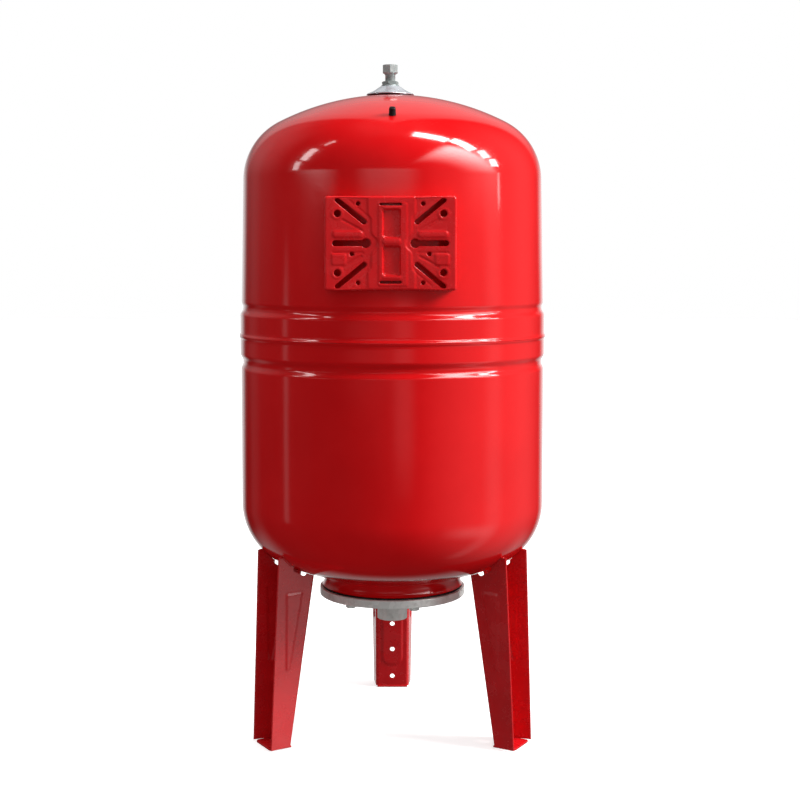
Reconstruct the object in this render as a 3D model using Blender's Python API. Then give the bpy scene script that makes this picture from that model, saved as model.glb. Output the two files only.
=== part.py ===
"""Expansion vessel of about 100 litres, standing on three pressed legs.

The vessel's axis is +Z, the floor is z = 0, and the mounting plate and air valve face -Y.
Sizes are in metres. Touching pieces keep a gap of GAP between them.
"""

import math

import bpy
import bmesh
from mathutils import Euler, Matrix, Vector

GAP = 0.0003
MERGE = 0.000001
SHELL_SIDES = 36
FITTING_SIDES = 24
HOLE_SIDES = 12
SMALL_HOLE_SIDES = 8
SLOT_END_STEPS = 6
SMALL_SLOT_END_STEPS = 3
OUTSIDE_STEPS = (5, 4)
INSIDE_STEPS = (4, 3)

# Pressure shell: two pressed halves that meet at the seam
WALL = 0.0015
LOWER_RADIUS = 0.225
UPPER_RADIUS_LOW = 0.224
UPPER_RADIUS_HIGH = 0.2206
BAND_RADIUS = 0.226
SEAM_RADIUS = 0.2276
SEAM_Z = 0.5915
SEAM_HALF = 0.0095
UPPER_GROOVE_Z = 0.632
UPPER_GROOVE_HALF = 0.0095
UPPER_GROOVE_DEPTH = 0.0018
LOWER_GROOVE_Z = 0.5544
LOWER_GROOVE_HALF = 0.012
LOWER_GROOVE_DEPTH = 0.003
GROOVE_FLOOR_HALF = 0.003
UPPER_TANGENT_Z = 0.8207
UPPER_KNUCKLE = 0.0949
UPPER_CROWN = 0.3683
LOWER_TANGENT_Z = 0.343
LOWER_KNUCKLE = 0.095
LOWER_CROWN = 0.439
TOP_HOLE_RADIUS = 0.0125
MOUTH_RADIUS = 0.070

# Bottom neck and the flange bolted under it
NECK_RADIUS = 0.106
NECK_FOOT_RADIUS = 0.1055
NECK_BORE = 0.072
NECK_BOTTOM_Z = 0.2165
NECK_SEAT = 0.0008
LIP_RADIUS = 0.1072
LIP_BOTTOM_Z = 0.2138
LIP_TOP_Z = 0.2162
FLANGE_RADIUS = 0.109
FLANGE_BORE = 0.0229
FLANGE_TOP_Z = 0.2135
FLANGE_BOTTOM_Z = 0.2014
FLANGE_EDGE = 0.002
STUD_CIRCLE = 0.094
STUD_COUNT = 6
FIRST_STUD_DEG = 290
STUD_RADIUS = 0.004
STUD_HOLE = 0.0045
STUD_TOP_Z = 0.225
STUD_BOTTOM_Z = 0.1945
NUT_ACROSS_FLATS = 0.013
NUT_HEIGHT = 0.004
WASHER_RADIUS = 0.008
WASHER_HEIGHT = 0.0016

# Water connection, a G1 socket welded into the flange
SOCKET_RADIUS = 0.02235
SOCKET_BORE = 0.0155
SOCKET_BOTTOM_Z = 0.1623
SOCKET_COLLAR = 0.0252
SOCKET_COLLAR_HEIGHT = 0.0045

# Rubber bag that holds the water
BAG_RADIUS = 0.160
BAG_WALL = 0.0025
BAG_NECK_RADIUS = 0.066
BAG_NECK_TOP_Z = 0.245
BAG_SIDE_LOW_Z = 0.345
BAG_SIDE_HIGH_Z = 0.800
BAG_TOP_Z = 0.9405
BAG_TOP_FLAT = 0.030
BAG_TOP_HOLE = 0.0115
BAG_CURVE_STEPS = 4

# Fitting at the top that holds the bag; it sits a little to one side of the axis
FITTING_X = -0.003
HANGER_RADIUS = 0.0078
HANGER_BORE = 0.0042
HANGER_BOTTOM_Z = 0.9345
HANGER_TOP_Z = 0.977
HANGER_DISC_RADIUS = 0.024
HANGER_DISC_HEIGHT = 0.0032
HANGER_CLEARANCE = 0.0006
GASKET_RADIUS = 0.0358
GASKET_LIFT = 0.0007
GASKET_HEIGHT = 0.0014
CONE_RADIUS = 0.0355
CONE_EDGE = 0.001
CONE_TOP_RADIUS = 0.0142
CONE_TOP_Z = 0.960
SPACER_RADIUS = 0.0138
SPACER_TOP_Z = 0.962
JAM_NUT_ACROSS_FLATS = 0.022
JAM_NUT_TOP_Z = 0.9672
JAM_NUT_TURN_DEG = 75
PLUG_ACROSS_FLATS = 0.022
PLUG_TOP_Z = 0.9925
PLUG_CHAMFER = 0.0022
PLUG_TURN_DEG = 90
PLUG_SPIGOT_RADIUS = 0.0037
PLUG_SPIGOT_LENGTH = 0.008

# Air valve on the upper shoulder; its pieces use their own axis, 0 at the shell's surface
VALVE_FROM_AXIS = 0.1744
VALVE_HOLE = 0.0045
VALVE_STEM_RADIUS = 0.004
VALVE_SHOULDER_RADIUS = 0.0062
VALVE_SHOULDER_LOW = 0.0008
VALVE_SHOULDER_HIGH = 0.0028
VALVE_TIP_RADIUS = 0.00365
VALVE_TIP_END = 0.0108
VALVE_FOOT = -0.016
VALVE_FOOT_FLOOR = -0.0148
VALVE_FOOT_VENT = 0.001
VALVE_BORE = 0.0024
CORE_RADIUS = 0.0021
CORE_BORE = 0.001
CORE_LOW = -0.0084
CORE_HIGH = 0.0085
PIN_RADIUS = 0.0006
PIN_TOP = 0.0098
PIN_DISC_RADIUS = 0.0018
PIN_DISC_LOW = -0.0098
PIN_DISC_HIGH = -0.0088
SPRING_RADIUS = 0.0013
SPRING_WIRE = 0.0002
SPRING_TURNS = 4
SPRING_POINTS_PER_TURN = 9
CAP_RADIUS = 0.0044
CAP_BORE = 0.0040
CAP_LOW = 0.0032
CAP_TOP = 0.0128
CAP_ROOF = 0.0015
CAP_EDGE = 0.0008

# Legs: channels of pressed sheet, web towards the axis, with a tab bent out under each
LEG_DIRECTIONS_DEG = {"leg_rear": 90, "leg_front_left": 210, "leg_front_right": 330}
LEG_SHEET = 0.0025
LEG_BEND = 0.005
LEG_BEND_STEPS = 3
LEG_BOTTOM_Z = 0.0022
LEG_TOP_Z = 0.281
LEG_WEB_HALF = 0.0265
LEG_WEB_AT_FLOOR = 0.184
LEG_WEB_AT_TOP = 0.1393
LEG_EDGE_AT_FLOOR = 0.217
LEG_EDGE_AT_TOP = 0.2057
LEG_OPEN_HALF_AT_FLOOR = 0.0305
LEG_OPEN_HALF_AT_TOP = 0.0358
LEG_HOLE_RADIUS = 0.0038
LEG_HOLE_HEIGHTS = (0.110, 0.066, 0.019)
LEG_HOLE_REACH = 0.03
NOTCH_CENTRE = (0.170, 0.2577)
NOTCH_LENGTH = 0.026
NOTCH_DEPTH = 0.0045
NOTCH_SLOPE_DEG = 27.4
WEB_GAP_LOW = (0.135, -0.017, 0.240)
WEB_GAP_HIGH = (0.155, 0.017, 0.290)
FOOT_INNER = 0.1825
FOOT_OUTER = 0.2168
FOOT_HALF = 0.0245
FOOT_SHEET = 0.003
FOOT_HOLE_FROM_AXIS = 0.199
FOOT_HOLE_RADIUS = 0.0048

# Mounting plate: a pressed tray whose rim is cut to the shell
PLATE_X = -0.0024
PLATE_Z = 0.7265
PLATE_HALF_WIDTH = 0.0885
PLATE_HALF_HEIGHT = 0.063
PLATE_FRONT_Y = -0.2324
PLATE_BACK_Y = -0.195
PLATE_SHEET = 0.002
PLATE_EDGE = 0.003
DIAGONAL_SLOT_INNER = (0.0355, 0.0285)
DIAGONAL_SLOT_OUTER = (0.071, 0.0575)
DIAGONAL_SLOT_WIDTH = 0.007
KEYHOLE_INNER = 0.033
KEYHOLE_OUTER = 0.074
KEYHOLE_WIDTH = 0.008
KEYHOLE_EYE_RADIUS = 0.0064
BIG_HOLE = (0.071, 0.0395)
BIG_HOLE_RADIUS = 0.0048
SMALL_HOLE = (0.0435, 0.0527)
SMALL_HOLE_RADIUS = 0.003
SIDE_HOLE = (0.0518, -0.0142)
CROSS_SLOT_HALF_LENGTH = 0.013
CROSS_SLOT_Z = 0.052
CROSS_SLOT_WIDTH = 0.0038
RIM_SLIT_Z = 0.037
RIM_SLIT_HALF = 0.001
RIM_SLIT_DEPTH = 0.004


# Materials


def paint(name, color, roughness, metallic):
    """A Principled material, made once and found again by its name."""
    found = bpy.data.materials.get(name)
    if found:
        return found
    made = bpy.data.materials.new(name)
    made.use_nodes = True
    shader = made.node_tree.nodes["Principled BSDF"]
    shader.inputs["Base Color"].default_value = (*color, 1)
    shader.inputs["Roughness"].default_value = roughness
    shader.inputs["Metallic"].default_value = metallic
    made.diffuse_color = (*color, 1)
    return made


def red_enamel():
    return paint("red_enamel", (0.52, 0.006, 0.01), 0.12, 0.0)


def red_sheet():
    return paint("red_sheet", (0.45, 0.006, 0.012), 0.3, 0.0)


def zinc_steel():
    return paint("zinc_steel", (0.55, 0.57, 0.54), 0.42, 0.9)


def bright_steel():
    return paint("bright_steel", (0.72, 0.73, 0.76), 0.18, 1.0)


def dark_steel():
    return paint("dark_steel", (0.36, 0.37, 0.38), 0.35, 1.0)


def brass():
    return paint("brass", (0.72, 0.52, 0.22), 0.28, 1.0)


def rubber():
    return paint("rubber", (0.02, 0.02, 0.02), 0.7, 0.0)


def black_plastic():
    return paint("black_plastic", (0.015, 0.013, 0.012), 0.35, 0.0)


# Tools


def clear_scene():
    for obj in list(bpy.data.objects):
        bpy.data.objects.remove(obj, do_unlink=True)


def link(name, data, material, parent=None):
    """Puts mesh or curve data in the scene under its node's name."""
    obj = bpy.data.objects.new(name, data)
    bpy.context.scene.collection.objects.link(obj)
    if material:
        data.materials.clear()
        data.materials.append(material)
    obj.parent = parent
    return obj


def finished(bm, name, material, parent=None):
    bmesh.ops.remove_doubles(bm, verts=bm.verts, dist=MERGE)
    bmesh.ops.recalc_face_normals(bm, faces=bm.faces)
    mesh = bpy.data.meshes.new(name)
    bm.to_mesh(mesh)
    bm.free()
    return link(name, mesh, material, parent)


def round_off(obj, sharp_deg=35):
    """Smooth shading that keeps the machined and folded edges crisp."""
    obj.data.shade_smooth()
    obj.data.set_sharp_from_angle(angle=math.radians(sharp_deg))
    return obj


def turned(name, profile, material, sides, parent=None, closed=True):
    """A solid turned about Z. An open profile starts and ends on the axis."""
    bm = bmesh.new()
    ring = [bm.verts.new((radius, 0, z)) for radius, z in profile]
    first = 0 if closed else 1
    edges = [bm.edges.new((ring[i - 1], ring[i])) for i in range(first, len(ring))]
    bmesh.ops.spin(
        bm,
        geom=ring + edges,
        cent=(0, 0, 0),
        axis=(0, 0, 1),
        angle=math.tau,
        steps=sides,
        use_merge=True,
    )
    return round_off(finished(bm, name, material, parent))


def prism(name, outline, low, high, material=None, place=None, parent=None):
    """An outline in X and Y raised from low to high, then put in place by a matrix."""
    bm = bmesh.new()
    base = bm.faces.new([bm.verts.new((x, y, low)) for x, y in outline])
    raised = bmesh.ops.extrude_face_region(bm, geom=[base])
    tops = [item for item in raised["geom"] if isinstance(item, bmesh.types.BMVert)]
    bmesh.ops.translate(bm, verts=tops, vec=(0, 0, high - low))
    if place:
        bmesh.ops.transform(bm, matrix=place, verts=bm.verts)
    return finished(bm, name, material, parent)


def block(name, low, high, material=None):
    outline = [(low[0], low[1]), (high[0], low[1]), (high[0], high[1]), (low[0], high[1])]
    return prism(name, outline, low[2], high[2], material)


def polygon(radius, sides, start_deg=0.0):
    turn = math.tau / sides
    start = math.radians(start_deg)
    return [
        (radius * math.cos(start + turn * i), radius * math.sin(start + turn * i))
        for i in range(sides)
    ]


def stadium(start, end, width, steps=SLOT_END_STEPS):
    """The outline of a slot: two half circles joined by straight sides."""
    heading = math.atan2(end[1] - start[1], end[0] - start[0])
    points = []
    for centre, turn in ((end, heading - math.pi / 2), (start, heading + math.pi / 2)):
        for i in range(steps + 1):
            angle = turn + math.pi * i / steps
            x = centre[0] + width / 2 * math.cos(angle)
            points.append((x, centre[1] + width / 2 * math.sin(angle)))
    return points


def carve(body, cutters, operation="DIFFERENCE"):
    """Applies a Boolean for each cutter and removes the cutters."""
    for cutter in cutters:
        step = body.modifiers.new("carve", "BOOLEAN")
        step.operation = operation
        step.object = cutter
    bpy.context.view_layer.update()
    depsgraph = bpy.context.evaluated_depsgraph_get()
    shaped = bpy.data.meshes.new_from_object(body.evaluated_get(depsgraph))
    shaped.name = body.name
    body.modifiers.clear()
    body.data = shaped
    for cutter in cutters:
        bpy.data.objects.remove(cutter, do_unlink=True)
    return round_off(body)


def blend(start, end, share):
    return start + (end - start) * share


def hexagon(across_flats, start_deg=0.0):
    return polygon(across_flats / math.sqrt(3), 6, start_deg)


def standing_rod(radius, low, high, x=0.0, y=0.0, sides=HOLE_SIDES):
    place = Matrix.Translation((x, y, 0))
    return prism("rod", polygon(radius, sides), low, high, place=place)


# Shell profiles


def head(radius, knuckle, crown, tangent_z, up, grow, hole, knuckle_steps, crown_steps):
    """A dished end from its tangent line to its centre hole: a knuckle arc, then a crown arc."""
    centre = radius - knuckle
    meet = math.asin(centre / (crown - knuckle))
    crown_z = tangent_z - up * (crown - knuckle) * math.cos(meet)
    edge = math.asin(hole / (crown + grow))
    points = []
    for i in range(knuckle_steps + 1):
        angle = blend(math.pi / 2, meet, i / knuckle_steps)
        reach = knuckle + grow
        points.append((centre + reach * math.sin(angle), tangent_z + up * reach * math.cos(angle)))
    for i in range(1, crown_steps + 1):
        angle = blend(meet, edge, i / crown_steps)
        reach = crown + grow
        points.append((reach * math.sin(angle), crown_z + up * reach * math.cos(angle)))
    return points


def upper_head(grow, hole, steps=OUTSIDE_STEPS):
    sizes = (UPPER_RADIUS_HIGH, UPPER_KNUCKLE, UPPER_CROWN, UPPER_TANGENT_Z)
    return head(*sizes, 1, grow, hole, *steps)


def lower_head(grow, hole, steps=OUTSIDE_STEPS):
    sizes = (LOWER_RADIUS, LOWER_KNUCKLE, LOWER_CROWN, LOWER_TANGENT_Z)
    return head(*sizes, -1, grow, hole, *steps)


def crown_height(radius, crown, knuckle, shell_radius, tangent_z, up):
    """Height of a head's crown at a distance from the axis."""
    rise = math.sqrt((crown - knuckle) ** 2 - (shell_radius - knuckle) ** 2)
    return tangent_z - up * rise + up * math.sqrt(crown**2 - radius**2)


def upper_crown_z(radius):
    sizes = (UPPER_CROWN, UPPER_KNUCKLE, UPPER_RADIUS_HIGH, UPPER_TANGENT_Z)
    return crown_height(radius, *sizes, 1)


def lower_crown_z(radius):
    return crown_height(radius, LOWER_CROWN, LOWER_KNUCKLE, LOWER_RADIUS, LOWER_TANGENT_Z, -1)


def side(grow, up, end_z, groove_z, groove_half, depth, shell_radius):
    """A shell's side from its seam to past its rolled groove."""
    floor = GROOVE_FLOOR_HALF
    return [
        (SEAM_RADIUS + grow, end_z),
        (BAND_RADIUS + grow, SEAM_Z + up * SEAM_HALF),
        (BAND_RADIUS + grow, groove_z - up * groove_half),
        (shell_radius - depth + grow, groove_z - up * floor),
        (shell_radius - depth + grow, groove_z + up * floor),
        (shell_radius + grow, groove_z + up * groove_half),
    ]


def upper_side(grow):
    groove = (UPPER_GROOVE_Z, UPPER_GROOVE_HALF, UPPER_GROOVE_DEPTH)
    return side(grow, 1, SEAM_Z + GAP / 2, *groove, UPPER_RADIUS_LOW)


def lower_side(grow):
    groove = (LOWER_GROOVE_Z, LOWER_GROOVE_HALF, LOWER_GROOVE_DEPTH)
    return side(grow, -1, SEAM_Z - GAP / 2, *groove, LOWER_RADIUS)


# Shell halves


def valve_placement():
    """Where the air valve's axis leaves the upper knuckle, and how far it leans forward."""
    centre = UPPER_RADIUS_HIGH - UPPER_KNUCKLE
    lean = math.asin((VALVE_FROM_AXIS - centre) / UPPER_KNUCKLE)
    z = UPPER_TANGENT_Z + UPPER_KNUCKLE * math.cos(lean)
    return Vector((0, -VALVE_FROM_AXIS, z)), lean


def upper_shell():
    outside = upper_side(0) + upper_head(0, TOP_HOLE_RADIUS)
    inside = upper_side(-WALL) + upper_head(-WALL, TOP_HOLE_RADIUS, INSIDE_STEPS)
    shell = turned("upper_shell", outside + inside[::-1], red_enamel(), SHELL_SIDES)
    point, lean = valve_placement()
    place = Matrix.Translation(point) @ Euler((lean, 0, 0)).to_matrix().to_4x4()
    drill = prism("drill", polygon(VALVE_HOLE, HOLE_SIDES), VALVE_FOOT, -VALVE_FOOT, place=place)
    return carve(shell, [drill])


def lower_shell():
    outside = lower_side(0) + lower_head(0, MOUTH_RADIUS)
    inside = lower_side(-WALL) + lower_head(-WALL, MOUTH_RADIUS, INSIDE_STEPS)
    return turned("lower_shell", outside + inside[::-1], red_enamel(), SHELL_SIDES)


# Neck, flange and fasteners


def stud_places():
    turn = math.tau / STUD_COUNT
    first = math.radians(FIRST_STUD_DEG)
    return [
        (STUD_CIRCLE * math.cos(first + turn * i), STUD_CIRCLE * math.sin(first + turn * i))
        for i in range(STUD_COUNT)
    ]


def stud_drills(low, high):
    return [standing_rod(STUD_HOLE, low, high, x, y) for x, y in stud_places()]


def neck_ring():
    profile = [
        (NECK_BORE, NECK_BOTTOM_Z),
        (NECK_FOOT_RADIUS, NECK_BOTTOM_Z),
        (NECK_RADIUS, lower_crown_z(NECK_RADIUS) - NECK_SEAT),
        (NECK_BORE, lower_crown_z(NECK_BORE) - NECK_SEAT),
    ]
    ring = turned("neck_ring", profile, red_enamel(), SHELL_SIDES)
    return carve(ring, stud_drills(FLANGE_BOTTOM_Z, STUD_TOP_Z + GAP))


def counter_flange():
    profile = [
        (FLANGE_BORE, FLANGE_BOTTOM_Z),
        (FLANGE_RADIUS - FLANGE_EDGE, FLANGE_BOTTOM_Z),
        (FLANGE_RADIUS, FLANGE_BOTTOM_Z + FLANGE_EDGE),
        (FLANGE_RADIUS, FLANGE_TOP_Z - FLANGE_EDGE),
        (FLANGE_RADIUS - FLANGE_EDGE, FLANGE_TOP_Z),
        (FLANGE_BORE, FLANGE_TOP_Z),
    ]
    flange = turned("counter_flange", profile, zinc_steel(), SHELL_SIDES)
    return carve(flange, stud_drills(SOCKET_BOTTOM_Z, LIP_TOP_Z))


def water_connection():
    collar_top = FLANGE_BOTTOM_Z - GAP
    profile = [
        (SOCKET_BORE, SOCKET_BOTTOM_Z),
        (SOCKET_RADIUS, SOCKET_BOTTOM_Z),
        (SOCKET_RADIUS, collar_top - SOCKET_COLLAR_HEIGHT),
        (SOCKET_COLLAR, collar_top),
        (SOCKET_RADIUS, collar_top),
        (SOCKET_RADIUS, FLANGE_TOP_Z),
        (SOCKET_BORE, FLANGE_TOP_Z),
    ]
    return turned("water_connection", profile, zinc_steel(), FITTING_SIDES)


def flange_fasteners():
    """A stud, a washer and a nut at each place on the stud circle."""
    for number, (x, y) in enumerate(stud_places(), start=1):
        at_stud = Matrix.Translation((x, y, 0))
        rod = polygon(STUD_RADIUS, HOLE_SIDES)
        stud = prism(f"flange_stud_{number}", rod, STUD_BOTTOM_Z, STUD_TOP_Z, dark_steel(), at_stud)
        round_off(stud)
        top = FLANGE_BOTTOM_Z - GAP
        bottom = top - WASHER_HEIGHT
        disc = polygon(WASHER_RADIUS, HOLE_SIDES)
        washer = prism(f"flange_washer_{number}", disc, bottom, top, dark_steel(), at_stud)
        carve(washer, [standing_rod(STUD_HOLE, SOCKET_BOTTOM_Z, LIP_TOP_Z, x, y)])
        top = bottom - GAP
        six = hexagon(NUT_ACROSS_FLATS, 360 * number / STUD_COUNT)
        nut = prism(f"flange_nut_{number}", six, top - NUT_HEIGHT, top, dark_steel(), at_stud)
        carve(nut, [standing_rod(STUD_HOLE, SOCKET_BOTTOM_Z, LIP_TOP_Z, x, y)])


# Bag


def bag_curve(grow):
    """The bag's side from the top of its neck to the flat round its top hole."""
    low = []
    high = []
    for i in range(BAG_CURVE_STEPS + 1):
        angle = math.pi / 2 * i / BAG_CURVE_STEPS
        out = blend(BAG_NECK_RADIUS, BAG_RADIUS, math.sin(angle))
        low.append((out + grow, blend(BAG_SIDE_LOW_Z, BAG_NECK_TOP_Z - grow, math.cos(angle))))
        across = blend(BAG_TOP_FLAT, BAG_RADIUS + grow, math.cos(angle))
        high.append((across, blend(BAG_SIDE_HIGH_Z, BAG_TOP_Z + grow, math.sin(angle))))
    return low + high


def membrane():
    mouth = BAG_NECK_RADIUS - BAG_WALL
    outside = [
        (LIP_RADIUS, LIP_BOTTOM_Z),
        (LIP_RADIUS, LIP_TOP_Z),
        (BAG_NECK_RADIUS, LIP_TOP_Z),
        *bag_curve(0),
        (BAG_TOP_HOLE, BAG_TOP_Z),
    ]
    inside = [(mouth, LIP_BOTTOM_Z), *bag_curve(-BAG_WALL), (BAG_TOP_HOLE, BAG_TOP_Z - BAG_WALL)]
    bag = turned("membrane", outside + inside[::-1], rubber(), FITTING_SIDES)
    return carve(bag, stud_drills(FLANGE_BOTTOM_Z, NECK_BOTTOM_Z))


# Fitting at the top


def top_fitting():
    base = bpy.data.objects.new("top_fitting_axis", None)
    bpy.context.scene.collection.objects.link(base)
    base.location.x = FITTING_X
    bore = HANGER_RADIUS + HANGER_CLEARANCE
    membrane_hanger(base)
    top_gasket(base, bore)
    top_cone(base, bore)
    cone_spacer(base, bore)
    jam_nut(base, bore)
    top_plug(base)


def membrane_hanger(base):
    disc_top = HANGER_BOTTOM_Z + HANGER_DISC_HEIGHT
    profile = [
        (HANGER_BORE, HANGER_BOTTOM_Z),
        (HANGER_DISC_RADIUS, HANGER_BOTTOM_Z),
        (HANGER_DISC_RADIUS, disc_top),
        (HANGER_RADIUS, disc_top),
        (HANGER_RADIUS, HANGER_TOP_Z),
        (HANGER_BORE, HANGER_TOP_Z),
    ]
    turned("membrane_hanger", profile, dark_steel(), FITTING_SIDES, base)


def dome_line(start, end, lift, steps=3):
    """Points a little above the upper dome, from one radius to another."""
    radii = [blend(start, end, i / steps) for i in range(steps + 1)]
    return [(radius, upper_crown_z(radius) + lift) for radius in radii]


def top_gasket(base, bore):
    under = dome_line(bore, GASKET_RADIUS, GASKET_LIFT)
    over = dome_line(GASKET_RADIUS, bore, GASKET_LIFT + GASKET_HEIGHT)
    turned("top_gasket", under + over, rubber(), FITTING_SIDES, base)


def top_cone(base, bore):
    lift = GASKET_LIFT + GASKET_HEIGHT + GAP
    under = dome_line(bore, CONE_RADIUS, lift)
    edge_z = under[-1][1] + CONE_EDGE
    over = [(CONE_RADIUS, edge_z), (CONE_TOP_RADIUS, CONE_TOP_Z), (bore, CONE_TOP_Z)]
    turned("top_cone", under + over, bright_steel(), FITTING_SIDES, base)


def cone_spacer(base, bore):
    low = CONE_TOP_Z + GAP
    profile = [(bore, low), (SPACER_RADIUS, low), (SPACER_RADIUS - CONE_EDGE, SPACER_TOP_Z)]
    turned("cone_spacer", profile + [(bore, SPACER_TOP_Z)], dark_steel(), FITTING_SIDES, base)


def jam_nut(base, bore):
    low = SPACER_TOP_Z + GAP
    place = Matrix.Translation((FITTING_X, 0, 0))
    six = hexagon(JAM_NUT_ACROSS_FLATS, JAM_NUT_TURN_DEG)
    nut = prism("jam_nut", six, low, JAM_NUT_TOP_Z, dark_steel(), place)
    carve(nut, [standing_rod(bore, HANGER_BOTTOM_Z, PLUG_TOP_Z, FITTING_X, sides=FITTING_SIDES)])
    nut.data.transform(place.inverted())
    nut.parent = base


def top_plug(base):
    """A hexagon with bevelled ends on a spigot that screws into the hanger's bore."""
    low = HANGER_TOP_Z + GAP
    six = hexagon(PLUG_ACROSS_FLATS, PLUG_TURN_DEG)
    plug = prism("top_plug", six, low, PLUG_TOP_Z, dark_steel())
    rim = PLUG_ACROSS_FLATS / 2 + PLUG_CHAMFER
    spool = [
        (0, low),
        (rim - 2 * PLUG_CHAMFER, low),
        (rim, low + 2 * PLUG_CHAMFER),
        (rim, PLUG_TOP_Z - PLUG_CHAMFER / 2),
        (rim - PLUG_CHAMFER, PLUG_TOP_Z),
        (0, PLUG_TOP_Z),
    ]
    carve(plug, [turned("spool", spool, None, FITTING_SIDES, closed=False)], "INTERSECT")
    deep = low - PLUG_SPIGOT_LENGTH
    spigot = standing_rod(PLUG_SPIGOT_RADIUS, deep, PLUG_TOP_Z - PLUG_CHAMFER)
    carve(plug, [spigot], "UNION")
    plug.parent = base


# Air valve


def air_valve():
    """The valve's pieces stand on an empty whose Z is the valve's axis."""
    axis = bpy.data.objects.new("air_valve_axis", None)
    bpy.context.scene.collection.objects.link(axis)
    axis.location, lean = valve_placement()
    axis.rotation_euler.x = lean
    valve_body(axis)
    valve_core(axis)
    valve_pin(axis)
    valve_spring(axis)
    dust_cap(axis)


def valve_body(axis):
    profile = [
        (VALVE_FOOT_VENT, VALVE_FOOT),
        (VALVE_STEM_RADIUS, VALVE_FOOT),
        (VALVE_STEM_RADIUS, VALVE_SHOULDER_LOW),
        (VALVE_SHOULDER_RADIUS, VALVE_SHOULDER_LOW),
        (VALVE_SHOULDER_RADIUS, VALVE_SHOULDER_HIGH),
        (VALVE_TIP_RADIUS, VALVE_SHOULDER_HIGH),
        (VALVE_TIP_RADIUS, VALVE_TIP_END),
        (VALVE_BORE, VALVE_TIP_END),
        (VALVE_BORE, VALVE_FOOT_FLOOR),
        (VALVE_FOOT_VENT, VALVE_FOOT_FLOOR),
    ]
    turned("valve_body", profile, brass(), HOLE_SIDES, axis)


def valve_core(axis):
    profile = [
        (CORE_BORE, CORE_LOW),
        (CORE_RADIUS, CORE_LOW),
        (CORE_RADIUS, CORE_HIGH),
        (CORE_BORE, CORE_HIGH),
    ]
    turned("valve_core", profile, brass(), HOLE_SIDES, axis)


def valve_pin(axis):
    profile = [
        (0, PIN_DISC_LOW),
        (PIN_DISC_RADIUS, PIN_DISC_LOW),
        (PIN_DISC_RADIUS, PIN_DISC_HIGH),
        (PIN_RADIUS, PIN_DISC_HIGH),
        (PIN_RADIUS, PIN_TOP),
        (0, PIN_TOP),
    ]
    turned("valve_pin", profile, bright_steel(), HOLE_SIDES, axis, closed=False)


def valve_spring(axis):
    """A coil between the floor of the valve body and the pin's disc."""
    low = VALVE_FOOT_FLOOR + GAP + SPRING_WIRE
    high = PIN_DISC_LOW - GAP - SPRING_WIRE
    count = SPRING_TURNS * SPRING_POINTS_PER_TURN
    curve = bpy.data.curves.new("valve_spring", "CURVE")
    curve.dimensions = "3D"
    curve.bevel_depth = SPRING_WIRE
    curve.bevel_resolution = 0
    curve.use_fill_caps = True
    wire = curve.splines.new("POLY")
    wire.points.add(count)
    for i, point in enumerate(wire.points):
        angle = math.tau * i / SPRING_POINTS_PER_TURN
        x = SPRING_RADIUS * math.cos(angle)
        y = SPRING_RADIUS * math.sin(angle)
        point.co = (x, y, blend(low, high, i / count), 1)
    link("valve_spring", curve, bright_steel(), axis)


def dust_cap(axis):
    profile = [
        (0, CAP_TOP),
        (CAP_RADIUS - CAP_EDGE, CAP_TOP),
        (CAP_RADIUS, CAP_TOP - CAP_EDGE),
        (CAP_RADIUS, CAP_LOW),
        (CAP_BORE, CAP_LOW),
        (CAP_BORE, CAP_TOP - CAP_ROOF),
        (0, CAP_TOP - CAP_ROOF),
    ]
    turned("dust_cap", profile, black_plastic(), HOLE_SIDES, axis, closed=False)


# Legs


def leg_outline(web, edge, open_half):
    """The channel's section: the web at its distance from the axis, and two splayed flanges."""
    outer = bent_line((edge, open_half), (web, LEG_WEB_HALF), LEG_BEND)
    inset = LEG_SHEET
    inner_corner = (web + inset, LEG_WEB_HALF - inset)
    inner = bent_line((edge, open_half - inset), inner_corner, LEG_BEND - inset)
    return (
        outer
        + [(x, -y) for x, y in outer[::-1]]
        + [(x, -y) for x, y in inner]
        + inner[::-1]
    )


def bent_line(free_end, corner, radius):
    """From a flange's free end round the bend to the start of the web."""
    slope = math.atan2(free_end[1] - corner[1], free_end[0] - corner[0])
    tangent = radius * math.tan((math.pi / 2 - slope) / 2)
    centre = (corner[0] + radius, corner[1] - tangent)
    points = [free_end]
    for i in range(LEG_BEND_STEPS + 1):
        angle = blend(math.pi / 2 + slope, math.pi, i / LEG_BEND_STEPS)
        x = centre[0] + radius * math.cos(angle)
        points.append((x, centre[1] + radius * math.sin(angle)))
    return points


def leg_section(z):
    share = z / LEG_TOP_Z
    web = blend(LEG_WEB_AT_FLOOR, LEG_WEB_AT_TOP, share)
    edge = blend(LEG_EDGE_AT_FLOOR, LEG_EDGE_AT_TOP, share)
    return leg_outline(web, edge, blend(LEG_OPEN_HALF_AT_FLOOR, LEG_OPEN_HALF_AT_TOP, share))


def leg_channel():
    bm = bmesh.new()
    rings = []
    for z in (LEG_BOTTOM_Z, LEG_TOP_Z):
        verts = [bm.verts.new((x, y, z)) for x, y in leg_section(z)]
        rings.append([bm.edges.new((verts[i - 1], verts[i])) for i in range(len(verts))])
        bm.faces.new(verts)
    bmesh.ops.bridge_loops(bm, edges=rings[0] + rings[1])
    return finished(bm, "leg", red_sheet())


def shell_cutter():
    """The lower head grown by the gap, which trims the top of a leg to the shell."""
    grown = lower_head(GAP, MOUTH_RADIUS)
    top = (LOWER_RADIUS + GAP, SEAM_Z)
    profile = [(0, SEAM_Z), top, *grown, (0, grown[-1][1])]
    return turned("cutter", profile, None, SHELL_SIDES, closed=False)


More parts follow.
